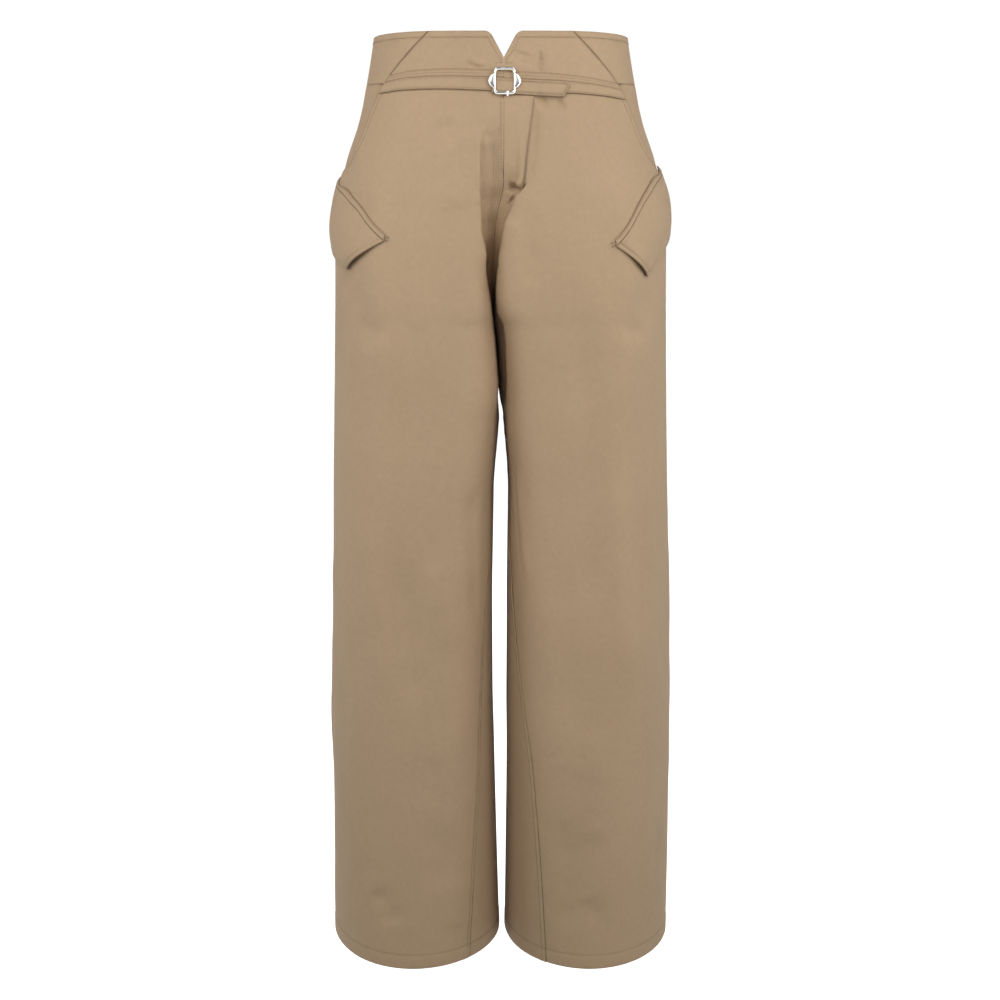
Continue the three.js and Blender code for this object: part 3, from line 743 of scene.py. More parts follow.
def shell(name, outer, inner, flip, grain, marks):
    """A closed cloth wall between two grids of points, with its rim."""
    rows, columns = outer.shape[:2]
    count = rows * columns
    ids = np.arange(count).reshape(rows, columns)
    a = ids[:-1, :-1]
    b = ids[1:, :-1]
    c = ids[1:, 1:]
    d = ids[:-1, 1:]
    faces = [
        np.stack([a, b, c, d], axis=-1).reshape(-1, 4),
        np.stack([a, d, c, b], axis=-1).reshape(-1, 4) + count,
        np.stack([ids[0, :-1], ids[0, 1:], ids[0, 1:] + count, ids[0, :-1] + count], axis=-1),
        np.stack([ids[-1, :-1] + count, ids[-1, 1:] + count, ids[-1, 1:], ids[-1, :-1]], axis=-1),
        np.stack([ids[:-1, 0] + count, ids[1:, 0] + count, ids[1:, 0], ids[:-1, 0]], axis=-1),
        np.stack([ids[:-1, -1], ids[1:, -1], ids[1:, -1] + count, ids[:-1, -1] + count], axis=-1),
    ]
    quads = np.concatenate(faces)
    if flip:
        quads = quads[:, ::-1]
    points = np.concatenate([outer.reshape(-1, 3), inner.reshape(-1, 3)]) * MM
    uv = np.concatenate([grain.reshape(-1, 2), grain.reshape(-1, 2)]) / 10
    worn, shade = (np.clip(np.broadcast_to(values, (rows, columns)), 0, 1).ravel() for values in marks)
    # The first marks are wear that lightens edges; the second is painted shade that darkens seams and
    # edges.
    both = {"worn_edge": np.tile(worn, 2), "painted_seam_shade": np.tile(shade, 2)}
    return new_mesh_object(name, points, quads.ravel(), np.full(len(quads), 4), uv, both)


def flat_cut(distance, z):
    """Width, length and area of a piece as cut, from its grid before any folds."""
    points = form_point(distance, z)
    across = np.linalg.norm(np.diff(points, axis=1), axis=2)
    down = np.linalg.norm(np.diff(points, axis=0), axis=2)
    cross = np.cross(
        points[1:, 1:] - points[:-1, :-1],
        points[1:, :-1] - points[:-1, 1:],
    )
    area = np.linalg.norm(cross, axis=2).sum() / 2
    return across.sum(axis=1).max() * MM, down.sum(axis=0).max() * MM, area * MM * MM


def cloth_piece(name, wearer, distance, z, lift, thickness, marks, grain=None):
    distance, z, lift = np.broadcast_arrays(distance, z, lift)
    outer = cloth_point(wearer, distance, z, lift)
    inner_lift = lift - np.broadcast_to(thickness, lift.shape)
    inner = cloth_point(wearer, distance, z, inner_lift)
    if grain is None:
        grain = np.stack([distance, z], axis=-1)
    obj = shell(name + "_cloth", outer, inner, wearer == "right", grain, marks)
    width, length, area = flat_cut(distance, z)
    width = max(width, 0.0101)
    length = max(length, 0.0101)
    obj.data.materials.append(finish("twill"))
    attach(obj, "root")
    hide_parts(name)
    area = min(area, width * length)
    area = max(area, 0.31 * width * length)
    return obj


# ---------------------------------------------------------------- materials
def finish(name):
    made = bpy.data.materials.get(name + "_finish")
    return made or FINISHES[name]()


class Nodes:
    """Short ways to add nodes to one node tree."""

    def __init__(self, tree):
        self.nodes = tree.nodes
        self.links = tree.links

    def fill(self, node, inputs):
        """Sets each input to its value, or links it where the value is another node's output."""
        for name, value in inputs.items():
            if isinstance(value, bpy.types.NodeSocket):
                self.links.new(value, node.inputs[name])
            else:
                node.inputs[name].default_value = value

    def add(self, kind, inputs, output):
        node = self.nodes.new("ShaderNode" + kind)
        self.fill(node, inputs)
        return node.outputs[output]

    def place(self):
        return self.add("TexCoord", {}, "Object")

    def grain(self):
        node = self.nodes.new("ShaderNodeUVMap")
        node.uv_map = "Grain"
        return node.outputs["UV"]

    def mark(self, name):
        node = self.nodes.new("ShaderNodeAttribute")
        node.attribute_name = name
        return node.outputs["Fac"]

    def noise(self, vector, scale, detail):
        return self.add("TexNoise", {"Vector": vector, "Scale": scale, "Detail": detail}, "Fac")

    def mapped(self, value, low, high, to_low, to_high):
        limits = {"From Min": low, "From Max": high, "To Min": to_low, "To Max": to_high}
        return self.add("MapRange", {"Value": value, **limits}, "Result")

    def maths(self, operation, first, second):
        node = self.nodes.new("ShaderNodeMath")
        node.operation = operation
        self.fill(node, {0: first, 1: second})
        return node.outputs["Value"]

    def bands(self, vector, turn, scale):
        """Fine parallel ribs across the cloth's grain, turned by an angle."""
        turned = self.add("Mapping", {"Vector": vector, "Rotation": (0, 0, turn)}, "Vector")
        shape = {"Scale": scale, "Distortion": 1.2, "Detail": 1.5, "Detail Scale": 1.4}
        return self.add("TexWave", {"Vector": turned, **shape}, "Fac")

    def ramp(self, share, colour, dark, light):
        """The colour times dark at share 0, and times light at share 1."""
        node = self.nodes.new("ShaderNodeValToRGB")
        base = np.array(colour[:3])
        for end, factor in zip(node.color_ramp.elements, (dark, light)):
            end.color = (*np.minimum(base * np.array(factor), 1), 1)
        self.links.new(share, node.inputs["Fac"])
        return node.outputs["Color"]

    def bump(self, height, strength, distance, under=None):
        """A bumpy normal, over another one where there is one."""
        inputs = {"Height": height, "Strength": strength, "Distance": distance}
        if under is not None:
            inputs["Normal"] = under
        return self.add("Bump", inputs, "Normal")


def new_finish(name):
    material = bpy.data.materials.new(name + "_finish")
    material.use_nodes = True
    tree = material.node_tree
    return material, Nodes(tree), tree.nodes["Principled BSDF"]


def twill_finish():
    cloth = bpy.context.scene.trouser_cloth
    material, nodes, shader = new_finish("twill")
    grain = nodes.grain()
    place = nodes.place()
    ribs = nodes.bands(grain, math.radians(62), 0.314 / (cloth.wale * 100))
    yarns = nodes.bands(grain, 0, 0.314 / (cloth.wale * 62))
    slub = nodes.add("Mapping", {"Vector": grain, "Scale": (9.0, 0.7, 1.0)}, "Vector")
    streaks = nodes.noise(slub, 2.2, 2.0)
    mottle = nodes.noise(place, 170.0, 3.0)
    cloudy = nodes.noise(place, 9.0, 3.0)
    weave = nodes.maths("ADD", nodes.maths("MULTIPLY", ribs, 0.65), nodes.maths("MULTIPLY", yarns, 0.35))
    tone = nodes.mapped(weave, 0, 1, -0.055, 0.055)
    for pattern, depth in ((streaks, 0.03), (mottle, 0.022), (cloudy, 0.025)):
        tone = nodes.maths("ADD", tone, nodes.mapped(pattern, 0.3, 0.7, -depth, depth))
    uneven = nodes.mapped(mottle, 0.35, 0.65, 0.35, 1.0)
    scuffed = nodes.maths("MULTIPLY", nodes.mark("worn_edge"), uneven)
    tone = nodes.maths("ADD", tone, nodes.maths("MULTIPLY", scuffed, 0.035))
    # Painted shade: seams, edges and stitch furrows darken the base colour, standing in for their shadow.
    tone = nodes.maths("SUBTRACT", tone, nodes.maths("MULTIPLY", nodes.mark("painted_seam_shade"), 0.42))
    share = nodes.mapped(tone, -0.75, 0.25, 0, 1)
    weave_bump = nodes.bump(weave, 0.35, 0.00025)
    crumple = nodes.noise(place, 42.0, 4.0)
    nodes.fill(shader, {
        "Base Color": nodes.ramp(share, cloth.colour, (0.22, 0.19, 0.12), (1.26, 1.27, 1.31)),
        "Roughness": nodes.mapped(weave, 0, 1, 0.84, 0.7),
        "Specular IOR Level": 0.32,
        "Sheen Weight": cloth.sheen,
        "Sheen Roughness": 0.42,
        "Sheen Tint": (1.0, 0.93, 0.83, 1),
        "Normal": nodes.bump(crumple, 0.3, 0.0011, weave_bump),
    })
    return material


def thread_finish():
    cloth = bpy.context.scene.trouser_cloth
    material, nodes, shader = new_finish("thread")
    place = nodes.place()
    twist = nodes.noise(place, 1400.0, 2.0)
    fade = nodes.noise(place, 60.0, 2.0)
    share = nodes.maths("ADD", nodes.maths("MULTIPLY", twist, 0.5), nodes.maths("MULTIPLY", fade, 0.5))
    nodes.fill(shader, {
        "Base Color": nodes.ramp(share, cloth.thread, 0.84, 1.12),
        "Roughness": nodes.mapped(twist, 0, 1, 0.5, 0.66),
        "Sheen Weight": 0.2,
        "Normal": nodes.bump(twist, 0.4, 0.0002),
    })
    return material


def metal_finish():
    metal = bpy.context.scene.trouser_metal
    material, nodes, shader = new_finish("buckle")
    place = nodes.place()
    hazy = nodes.noise(place, 260.0, 4.0)
    stretched = nodes.add("Mapping", {"Vector": place, "Scale": (240.0, 240.0, 2600.0)}, "Vector")
    hairlines = nodes.noise(stretched, 1.0, 2.0)
    nodes.fill(shader, {
        "Base Color": nodes.ramp(hazy, metal.colour, 0.86, 1.05),
        "Metallic": 1.0,
        "Roughness": nodes.mapped(hazy, 0.3, 0.7, metal.polish, metal.polish + 0.13),
        "Normal": nodes.bump(hairlines, 0.12, 0.0001),
    })
    return material


def floor_finish():
    stage = bpy.context.scene.trouser_stage
    material, nodes, shader = new_finish("floor")
    grainy = nodes.noise(nodes.place(), 6.0, 3.0)
    nodes.fill(shader, {
        "Base Color": nodes.ramp(grainy, stage.floor_colour, 0.97, 1.0),
        "Roughness": 0.9,
        "Specular IOR Level": 0.1,
        "Emission Color": (1, 1, 1, 1),
        "Emission Strength": stage.floor_glow,
    })
    return material


FINISHES = {"twill": twill_finish, "thread": thread_finish, "buckle": metal_finish, "floor": floor_finish}


# ---------------------------------------------------------------- legs
PANEL_MARKS = ((-84, 3.0), (-132, 1.4), (-330, 3.0), (-918.5, 4.0))


def panel_rows():
    upper = WAIST_SEAM - FINE_GAP / 2 - np.array(EDGE_STEPS)
    hem = HEM + np.array(HEM_STEPS)[::-1]
    body = levels_between(upper[-1], hem[0], PANEL_MARKS)
    return np.concatenate([upper[:-1], body, hem[1:]])


def hem_lift(z):
    rise = z - HEM
    turn_up = 0.4 * (1 - eased((rise - HEM_DEPTH) / 1.6)) * eased(rise / 1.2)
    return turn_up + channel(rise, HEM_DEPTH, 0.3, 0.9) - rolled(rise, 1.0)


def panel_wall(z, edge):
    """Thickness of a panel, double in the hem and thin where it rolls over an edge."""
    rise = z - HEM
    double = 1.3 * (1 - eased((rise - HEM_DEPTH) / 1.0))
    return PANEL_WALL + double - 2 * rolled(edge) - 2 * rolled(rise, 1.0) * (rise < 2)


def fly_raise(from_start, z):
    """The right front rises beside the centre to lie level with the fly lap."""
    stretch = eased((-12 - z) / 9) * (1 - eased((-68 - z) / 30))
    return 1.75 * stretch * (1 - eased(from_start / 30))


def leg_grid(wearer, face, z):
    """Distances round the form at each row's points, and at its two edges."""
    if face == "front":
        start = front_start(z, wearer)
        crest = by_level("crest", z)
        end = front_edge(z) - FINE_GAP / 2
        counts = (44, 46) if wearer == "left" else (36, 46)
    else:
        start = side_seam(z) + FINE_GAP / 2
        crest = by_level("back_crest", z)
        end = back_end(z, wearer)
        counts = (40, 32)
    steps = np.array(EDGE_STEPS)[None, :]
    columns = [
        start[:, None] + steps,
        evenly(start + EDGE_STEPS[-1], crest, counts[0]),
        evenly(crest, end - EDGE_STEPS[-1], counts[1]),
        end[:, None] - steps[:, ::-1][:, 1:],
    ]
    return np.concatenate(columns, axis=1), start, end


def mouth_and_fly(wearer, from_start, from_end, high, lift, shade):
    """Lift and painted shade of a front leg, with its rolled pocket mouth and its side of the fly."""
    in_mouth = eased((high - MOUTH_END - 13) / 9)
    mouth_roll = 1.5 * np.exp(-((from_end / 6) ** 2)) + channel(from_end, MOUTH_STITCH, 0.35)
    # Painted shadow behind the rolled pocket mouth and in its stitched furrow.
    mouth_shade = painted_line_shade(from_end, MOUTH_STITCH, 0.5) + 0.9 * painted_edge_shade(from_end, 0.9)
    lift = lift + in_mouth * mouth_roll
    shade = shade + in_mouth * mouth_shade
    if wearer == "right":
        centre = eased((high - CROTCH) / 12) * (high < -12)
        lift = lift + fly_raise(from_start, high) + centre * channel(from_start, 2.9, 0.1)
        # Painted shade along the fly's stitched row beside the centre seam.
        shade = shade + centre * painted_line_shade(from_start, 2.9, 0.15)
    return lift, shade


def seat_and_side(from_start, from_end, from_top, high, lift, shade):
    """Lift and painted shade of a back leg, with its side, rise and waist seams."""
    side_shape = allowance(from_start, 0.35) * eased((-high - 20) / 20)
    rise_shape = allowance(from_end, 0.45) + channel(from_end, SEAM_STITCH, 0.2)
    lift = lift + side_shape + eased((high - CROTCH) / 12) * rise_shape
    lift = lift + allowance(from_top, 0.4) + channel(from_top, SEAM_STITCH, 0.25)
    # Painted shade in the furrows of the waist and rise stitching.
    rise_shade = painted_line_shade(from_end, SEAM_STITCH, 0.35) * (high > CROTCH)
    return lift, shade + painted_line_shade(from_top, SEAM_STITCH) + rise_shade


def leg_panel(wearer, face):
    z = panel_rows()
    distance, start, end = leg_grid(wearer, face, z)
    high = z[:, None] * np.ones_like(distance)
    from_start = distance - start[:, None]
    from_end = end[:, None] - distance
    from_top = WAIST_SEAM - FINE_GAP / 2 - high
    beside_lap = 9 * eased((-14 - high) / 6) * (1 - eased((-76 - high) / 12))
    open_start = from_start + (beside_lap if (wearer, face) == ("right", "front") else 0)
    edge = np.minimum(np.minimum(open_start, from_end), from_top)
    lift = -rolled(edge) + hem_lift(high)
    # Painted shade: the colour darkens beside the panel's edges, in the hem's stitched furrow and, lower
    # down, in the inseam's furrow.
    shade = painted_edge_shade(edge) + painted_line_shade(high - HEM, HEM_DEPTH, 0.5, 0.9)
    below_crotch = eased((CROTCH - 4 - high) / 12)
    stitched = "front" if wearer == "right" else "back"
    inseam_side = from_start if face == "front" else from_end
    if face == stitched:
        seam_shape = allowance(inseam_side) + channel(inseam_side, SEAM_STITCH, 0.35)
        shade = shade + below_crotch * painted_line_shade(inseam_side, SEAM_STITCH)
        lift = lift + below_crotch * (seam_shape + pucker(inseam_side, high, 0.16))
    lift = lift + below_crotch * pucker(inseam_side, high, 0.1, 6)
    if face == "front":
        lift, shade = mouth_and_fly(wearer, from_start, from_end, high, lift, shade)
    else:
        lift, shade = seat_and_side(from_start, from_end, from_top, high, lift, shade)
    worn = np.exp(-edge / 2.2) + 0.8 * np.exp(-(high - HEM) / 2.5)
    name = f"leg_{face}_{wearer}"
    return cloth_piece(name, wearer, distance, high, lift, panel_wall(high, edge), (worn, shade))


# ---------------------------------------------------------------- pockets
def trim_grid(across_mm, down_mm, spacing, steps=(0, 0.12, 0.4, 0.9, 2.0)):
    """Shares across and down a small piece, closer together beside its edges."""
    result = []
    for size in (across_mm, down_mm):
        near = np.array(steps)
        near = near[near < size * 0.3]
        count = max(int((size - 2 * near[-1]) / spacing), 2)
        inner = np.linspace(near[-1], size - near[-1], count + 1)
        marks = np.concatenate([near[:-1], inner, size - near[:-1][::-1]])
        result.append(marks / size)
    return result


def edge_of(across, down, width, height):
    """Distance from the nearest of a small piece's four edges."""
    sides = np.minimum(across, 1 - across) * width
    ends = np.minimum(down, 1 - down) * height
    return np.minimum(sides, ends)


def pocket_facing(wearer):
    z = levels_between(WAIST_SEAM - FINE_GAP / 2, MOUTH_END, ((-200, 2.5),))
    across, _ = trim_grid(60, 60, 3.0)
    mouth = front_edge(z)[:, None]
    seam = side_seam(z)[:, None] - FINE_GAP / 2
    distance = mix(mouth - FACING_UNDER, seam, across[None, :])
    high = z[:, None] * np.ones_like(distance)
    share = (seam - distance) / (seam - mouth)
    inset = mix(eased((share - 0.86) / 0.14), eased(share), eased((-high - 3) / 26))
    from_seam = seam - distance
    edge = np.minimum(from_seam, WAIST_SEAM - high + 0.1)
    lift = -inset * FACING_SET_BACK - rolled(edge) - 0.5 * eased((distance - mouth + 1) / -2)
    lift = lift + 0.35 * np.sin(high / 13 + distance / 21) * inset
    # Painted shadow: the facing darkens behind the pocket mouth and beside its seams.
    shade = 0.5 * painted_edge_shade(edge) + 0.95 * painted_edge_shade(distance - mouth, 3.5)
    marks = (np.exp(-np.maximum(edge, 0) / 2.2), shade)
    name = f"pocket_facing_{wearer}"
    return cloth_piece(name, wearer, distance, high, lift, PANEL_WALL - 2 * rolled(edge), marks)


def flap_place(wearer, across, down):
    """Distance and height on the flap; its top edge hangs from the welt."""
    edge = flap_edge[wearer]
    z = mix(edge["upper_z"](across), edge["lower_z"](across), down)
    return side_distance(z) - mix(edge["upper_ahead"](across), edge["lower_ahead"](across), down), z


def welt_place(wearer, across, down):
    distance, z = flap_place(wearer, across, np.zeros_like(across))
    width = WELT_WIDTH * (1 - 0.5 * eased((across - 0.45) / 0.2))
    high = mix(z + width + 0.3, z + 0.45, down)
    return distance + side_distance(high) - side_distance(z), high


def from_sides(place, wearer, across, down):
    """Distances from the front edge, the far end, the top and the foot of a placed piece."""
    here = np.stack(place(wearer, across, down))
    zero = np.zeros_like(across)
    sides = ((zero, down), (zero + 1, down), (across, zero), (across, zero + 1))
    return [np.hypot(*(np.stack(place(wearer, *side)) - here)) for side in sides]


def flap_lift(down):
    bulge = FLAP["bulge"] * np.sin(math.pi * down ** FLAP["skew"])
    return FLAP_GAP + FLAP_WALL + FLAP["edge_off"] * down + bulge


def pocket_flap(wearer):
    across, down = trim_grid(FLAP["length"], FLAP["depth"], 2.2)
    across, down = np.meshgrid(across, down)
    distance, z = flap_place(wearer, across, down)
    front, far, top, foot = from_sides(flap_place, wearer, across, down)
    seams = np.minimum(np.minimum(front, far), foot)
    edge = np.minimum(seams, top)
    lift = flap_lift(down) - rolled(edge, 0.95) + channel(seams, FLAP_STITCH, 0.42, 0.9)
    lift = lift + 0.35 * (1 - np.exp(-seams / 1.2)) * np.exp(-((seams / 3.2) ** 2))
    ripple = 0.4 if wearer == "right" else -0.4
    lift = lift + ripple * np.sin(across * 11 + 1) * np.sin(down * 3.1)
    lift = lift + pucker(seams - FLAP_STITCH, front + z, 0.12, 4)
    thickness = FLAP_WALL - 1.95 * rolled(edge, 0.95)
    grain = np.stack([across * FLAP["length"], down * FLAP["depth"]], axis=-1)
    # Painted shade beside the flap's edges and in its stitched furrow, where its shadow falls.
    marks = (np.exp(-seams / 1.8), 0.5 * painted_edge_shade(edge, 0.7) + painted_line_shade(seams, FLAP_STITCH))
    name = f"pocket_flap_{wearer}"
    return cloth_piece(name, wearer, distance, z, lift, thickness, marks, grain)


def pocket_welt(wearer):
    across, down = trim_grid(FLAP["length"], WELT_WIDTH, 1.6, (0, 0.12, 0.4, 0.9))
    across, down = np.meshgrid(across, down)
    distance, z = welt_place(wearer, across, down)
    edge = np.min(from_sides(welt_place, wearer, across, down), axis=0)
    lift = LAY_GAP + TRIM_WALL + 1.1 * eased(down * 1.4) - rolled(edge, 0.6)
    lift = lift + channel(down * WELT_WIDTH, WELT_STITCH, 0.35, 0.6)
    thickness = TRIM_WALL + 1.0 * eased(down * 1.4) - 1.9 * rolled(edge, 0.6)
    grain = np.stack([across * FLAP["length"], down * WELT_WIDTH], axis=-1)
    # Painted shade beside the welt's edges and in its stitched furrow.
    marks = (np.exp(-edge / 1.2), painted_edge_shade(edge, 0.55) + painted_line_shade(down * WELT_WIDTH, WELT_STITCH))
    name = f"pocket_welt_{wearer}"
    return cloth_piece(name, wearer, distance, z, lift, thickness, marks, grain)


# ---------------------------------------------------------------- waist
def waist_grid(width_mm):
    across, _ = trim_grid(width_mm, 60, 1.7, (0, 0.1, 0.3, 0.75, 1.6, 3.0))
    down = np.array([0, 0.1, 0.3, 0.75, 1.6, 3.4, 5.2, 6.2, 7.2, 9.0])
    rest = np.linspace(9.0, 49.0, 25)[1:]
    down = np.concatenate([down, rest, [50.0, 50.6, 50.9, 51.0]]) / 51.0
    return np.meshgrid(across, down)


def waist_piece(name, wearer, width, place_from, place_to, top, seams=(0, 0), sewn=(1, 1), flush=0):
    across, down = waist_grid(width)
    z = mix(top(across), WAIST_SEAM + FINE_GAP / 2, down)
    start = place_from(z)
    end = place_to(z)
    distance = mix(start, end, across)
    from_top = top(across) - z
    from_start = distance - start
    from_end = end - distance
    from_bottom = z - WAIST_SEAM
    open_start = from_start + flush * eased((NOTCH_BOTTOM + 1 - z) / 3)
    edge = np.minimum(np.minimum(open_start, from_end), np.minimum(from_top, from_bottom))
    lift = -rolled(edge)
    lift = lift + 0.3 * (1 - eased((from_top - TOP_STITCH) / 2.0)) + channel(from_top, TOP_STITCH, 0.35)
    lift = lift + pucker(from_top, distance, 0.14, 10)
    for share, from_side in zip(seams, (from_start, from_end)):
        lift = lift + share * (allowance(from_side, 0.45, 5.0) + pucker(from_side, z, 0.12, 6))
    thickness = PANEL_WALL - 2 * rolled(edge)
    # Painted shade beside the edges, in the top stitching's furrow and at the sewn seams, lighter at the
    # waist seam.
    shade = painted_edge_shade(edge) + painted_line_shade(from_top, TOP_STITCH) - 0.5 * painted_edge_shade(from_bottom)
    for side, from_side in zip(sewn, (from_start, from_end)):
        shade = shade + side * painted_edge_shade(from_side, 1.1)
    marks = (np.exp(-np.minimum(edge, 50) / 2.2), shade)
    return cloth_piece(name, wearer, distance, z, lift, thickness, marks)


def notch(z):
    """Half-width of the notch, whose upper corners are rounded off."""
    below = np.clip(TOP - z, 0, NOTCH_CORNER)
    corner = NOTCH_CORNER - np.sqrt(NOTCH_CORNER**2 - (NOTCH_CORNER - below) ** 2)
    return NOTCH_HALF * np.maximum(z - NOTCH_BOTTOM, 0) / (TOP - NOTCH_BOTTOM) + corner


def yoke_start(z, wearer):
    outward = 1 if wearer == "left" else -1
    return outward * centre_shift(z) + notch(z) + FINE_GAP / 2


def yoke_front(wearer):
    return waist_piece(
        f"yoke_front_{wearer}", wearer, 95,
        lambda z: yoke_start(z, wearer),
        lambda z: front_edge(z) - FINE_GAP / 2,
        lambda across: np.full_like(across, TOP),
        seams=(0, 1), sewn=(0, 1), flush=9,
    )


def waist_side(wearer):
    return waist_piece(
        f"waist_side_{wearer}", wearer, 70,
        lambda z: front_edge(z) + FINE_GAP / 2,
        lambda z: side_seam(z) - FINE_GAP / 2,
        lambda across: mix(TOP, SIDE_TOP, eased(across)),
    )


def waist_back(wearer):
    return waist_piece(
        f"waist_back_{wearer}", wearer, 150,
        lambda z: side_seam(z) + FINE_GAP / 2,
        lambda z: by_level("total", z) - FINE_GAP / 2,
        lambda across: mix(SIDE_TOP, BACK_TOP, eased(across)),
        seams=(0, 0.8),
    )


# ---------------------------------------------------------------- belt and fly
BAND_LENGTH = 124
BAND_DEPTH = 21


def band_place(across, down, wearer):
    top = curve_through(BAND["x"], BAND[wearer + "_top"])
    bottom = curve_through(BAND["x"], BAND[wearer + "_bottom"])
    outward = 1 if wearer == "left" else -1
    start_x = outward * CENTRE_X + 0.15
    x = mix(start_x, BAND["x"][-1], across)
    z = mix(top(x), bottom(x), down)
    distance = mix(distance_at_x(start_x, z), front_edge(z) - 0.25, across)
    return distance, z


def band_lift(down, edge):
    """The belt band: a flat upper strip, and the belt proper standing over it."""
    step = eased((down - BAND_STEP) / 0.04)
    lift = LAY_GAP + TRIM_WALL - 0.45 * (1 - step) - rolled(edge, 0.6)
    lift = lift - 0.4 * np.exp(-(((down - BAND_STEP + 0.015) / 0.022) ** 2))
    return lift + 0.35 * eased((down - 0.82) / 0.18)


def belt_band(wearer):
    across, _ = trim_grid(BAND_LENGTH, 20, 2.0, (0, 0.12, 0.4, 0.9))
    down = np.array([0, 0.006, 0.02, 0.05, 0.1, 0.16, 0.22, 0.29, 0.335, 0.355, 0.37, 0.38, 0.395, 0.42,
                     0.47, 0.54, 0.62, 0.7, 0.76, 0.82, 0.87, 0.92, 0.955, 0.98, 0.994, 1.0])
    across, down = np.meshgrid(across, down)
    distance, z = band_place(across, down, wearer)
    edge = np.minimum((1 - across) * BAND_LENGTH, np.minimum(down, 1 - down) * BAND_DEPTH)
    lift = band_lift(down, edge)
    lift = lift + pucker(np.abs(down - BAND_STEP) * BAND_DEPTH, distance, 0.1, 6)
    thickness = TRIM_WALL + 0.2 - 1.6 * rolled(edge, 0.6)
    # Painted shade beside the edges, at the step between the strips, and painted shadow above the lapped
    # lower edge.
    shade = painted_edge_shade(edge, 0.7) + painted_line_shade(down, BAND_STEP - 0.01, 0.95, 0.03)
    marks = (np.exp(-edge / 1.4), shade + 0.5 * painted_edge_shade((1 - down) * BAND_DEPTH, 1.2))
    name = f"belt_band_{wearer}"
    return cloth_piece(name, wearer, distance, z, lift, thickness, marks)


def strap_end(down):
    upper = mix(STRAP["shoulder"], STRAP["tip"], down / STRAP["tip_at"])
    lower = mix(STRAP["tip"], STRAP["toe"], (down - STRAP["tip_at"]) / (1 - STRAP["tip_at"]))
    return np.where(down <= STRAP["tip_at"], upper, lower)


def strap_place(across, down):
    x = mix(STRAP["from"], strap_end(down), across)
    z = mix(STRAP["top"], STRAP["bottom"], down) - STRAP["drop"] * (x / STRAP["tip"])
    return distance_at_x(x, z), z


def belt_strap():
    across, _ = trim_grid(STRAP["length"], 20, 1.6, (0, 0.12, 0.4, 0.9))
    down = np.array([0, 0.008, 0.026, 0.06, 0.1, 0.15, 0.2, 0.25, 0.3, 0.37, 0.45, 0.53, 0.6, 0.68, 0.76,
                     0.83, 0.89, 0.94, 0.974, 0.992, 1.0])
    across, down = np.meshgrid(across, down)
    distance, z = strap_place(across, down)
    edge = edge_of(across, down, STRAP["length"], STRAP["width"])
    end = np.minimum(edge, (1 - across) * STRAP["length"])
    lift = 2 * (LAY_GAP + TRIM_WALL) - rolled(edge, 0.6) + channel(end, STRAP_STITCH, 0.2, 0.6)
    lift = lift + 0.35 * np.sin(across * 9 + 0.6) * np.sin(math.pi * across)
    thickness = TRIM_WALL + 0.1 - 1.7 * rolled(edge, 0.6)
    # Painted shade beside the strap's edges and in its stitched furrow.
    marks = (np.exp(-edge / 1.3), painted_edge_shade(edge, 0.8) + painted_line_shade(end, STRAP_STITCH, 0.5))
    return cloth_piece("belt_strap", "left", distance, z, lift, thickness, marks)


def fly_lap():
    fly_edge = curve_through(FLY["z"], FLY["edge"])
    down = np.linspace(0, 1, 66)
    across = np.array([0, 0.004, 0.02, 0.06, 0.12, 0.2, 0.28, 0.36, 0.44, 0.52, 0.6, 0.68, 0.75, 0.82, 0.87,
                       0.91, 0.94, 0.965, 0.985, 0.996, 1.0])
    across, down = np.meshgrid(across, down)
    z = mix(FLY["z"][0], FLY["z"][-1], down)
    start = centre_shift(z) + 0.1
    end = distance_at_x(fly_edge(z), z)
    distance = mix(start, end, across)
    from_edge = (1 - across) * (end - start)
    from_centre = across * (end - start)
    from_foot = (1 - down) * 90
    edge = np.minimum(from_edge, from_foot)
    sink = eased((down - 0.74) / 0.26) * (1 - eased((across - 0.2) / 0.5))
    lift = LAY_GAP + TRIM_WALL + FLY_STAND_OFF * down - rolled(edge, 0.6)
    lift = lift + 0.9 * eased(across / 0.9) * eased(down / 0.2)
    lift = mix(lift, -0.6, sink) - 0.15 * np.exp(-((from_centre / 0.5) ** 2)) * (1 - sink)
    lift = lift + 0.25 * np.exp(-((from_edge / 2.5) ** 2)) * (1 - np.exp(-from_edge / 0.6))
    thickness = TRIM_WALL - 1.7 * rolled(edge, 0.6)
    # Painted shadow along the lap's open edge, and faint painted shade at the centre seam.
    shade = painted_edge_shade(from_edge, 1.0) + 0.35 * painted_edge_shade(from_centre, 0.5) * (1 - sink)
    marks = (np.exp(-from_edge / 1.2), shade)
    return cloth_piece("fly_lap", "left", distance, z, lift, thickness, marks)


# ---------------------------------------------------------------- stitching
THREAD_SIDES = 5
THREAD_RINGS = ((-0.5, 0.35, -0.9), (-0.4, 0.85, -0.15), (-0.15, 1.0, 0.3), (0.15, 1.0, 0.3),
                (0.4, 0.85, -0.15), (0.5, 0.35, -0.9))


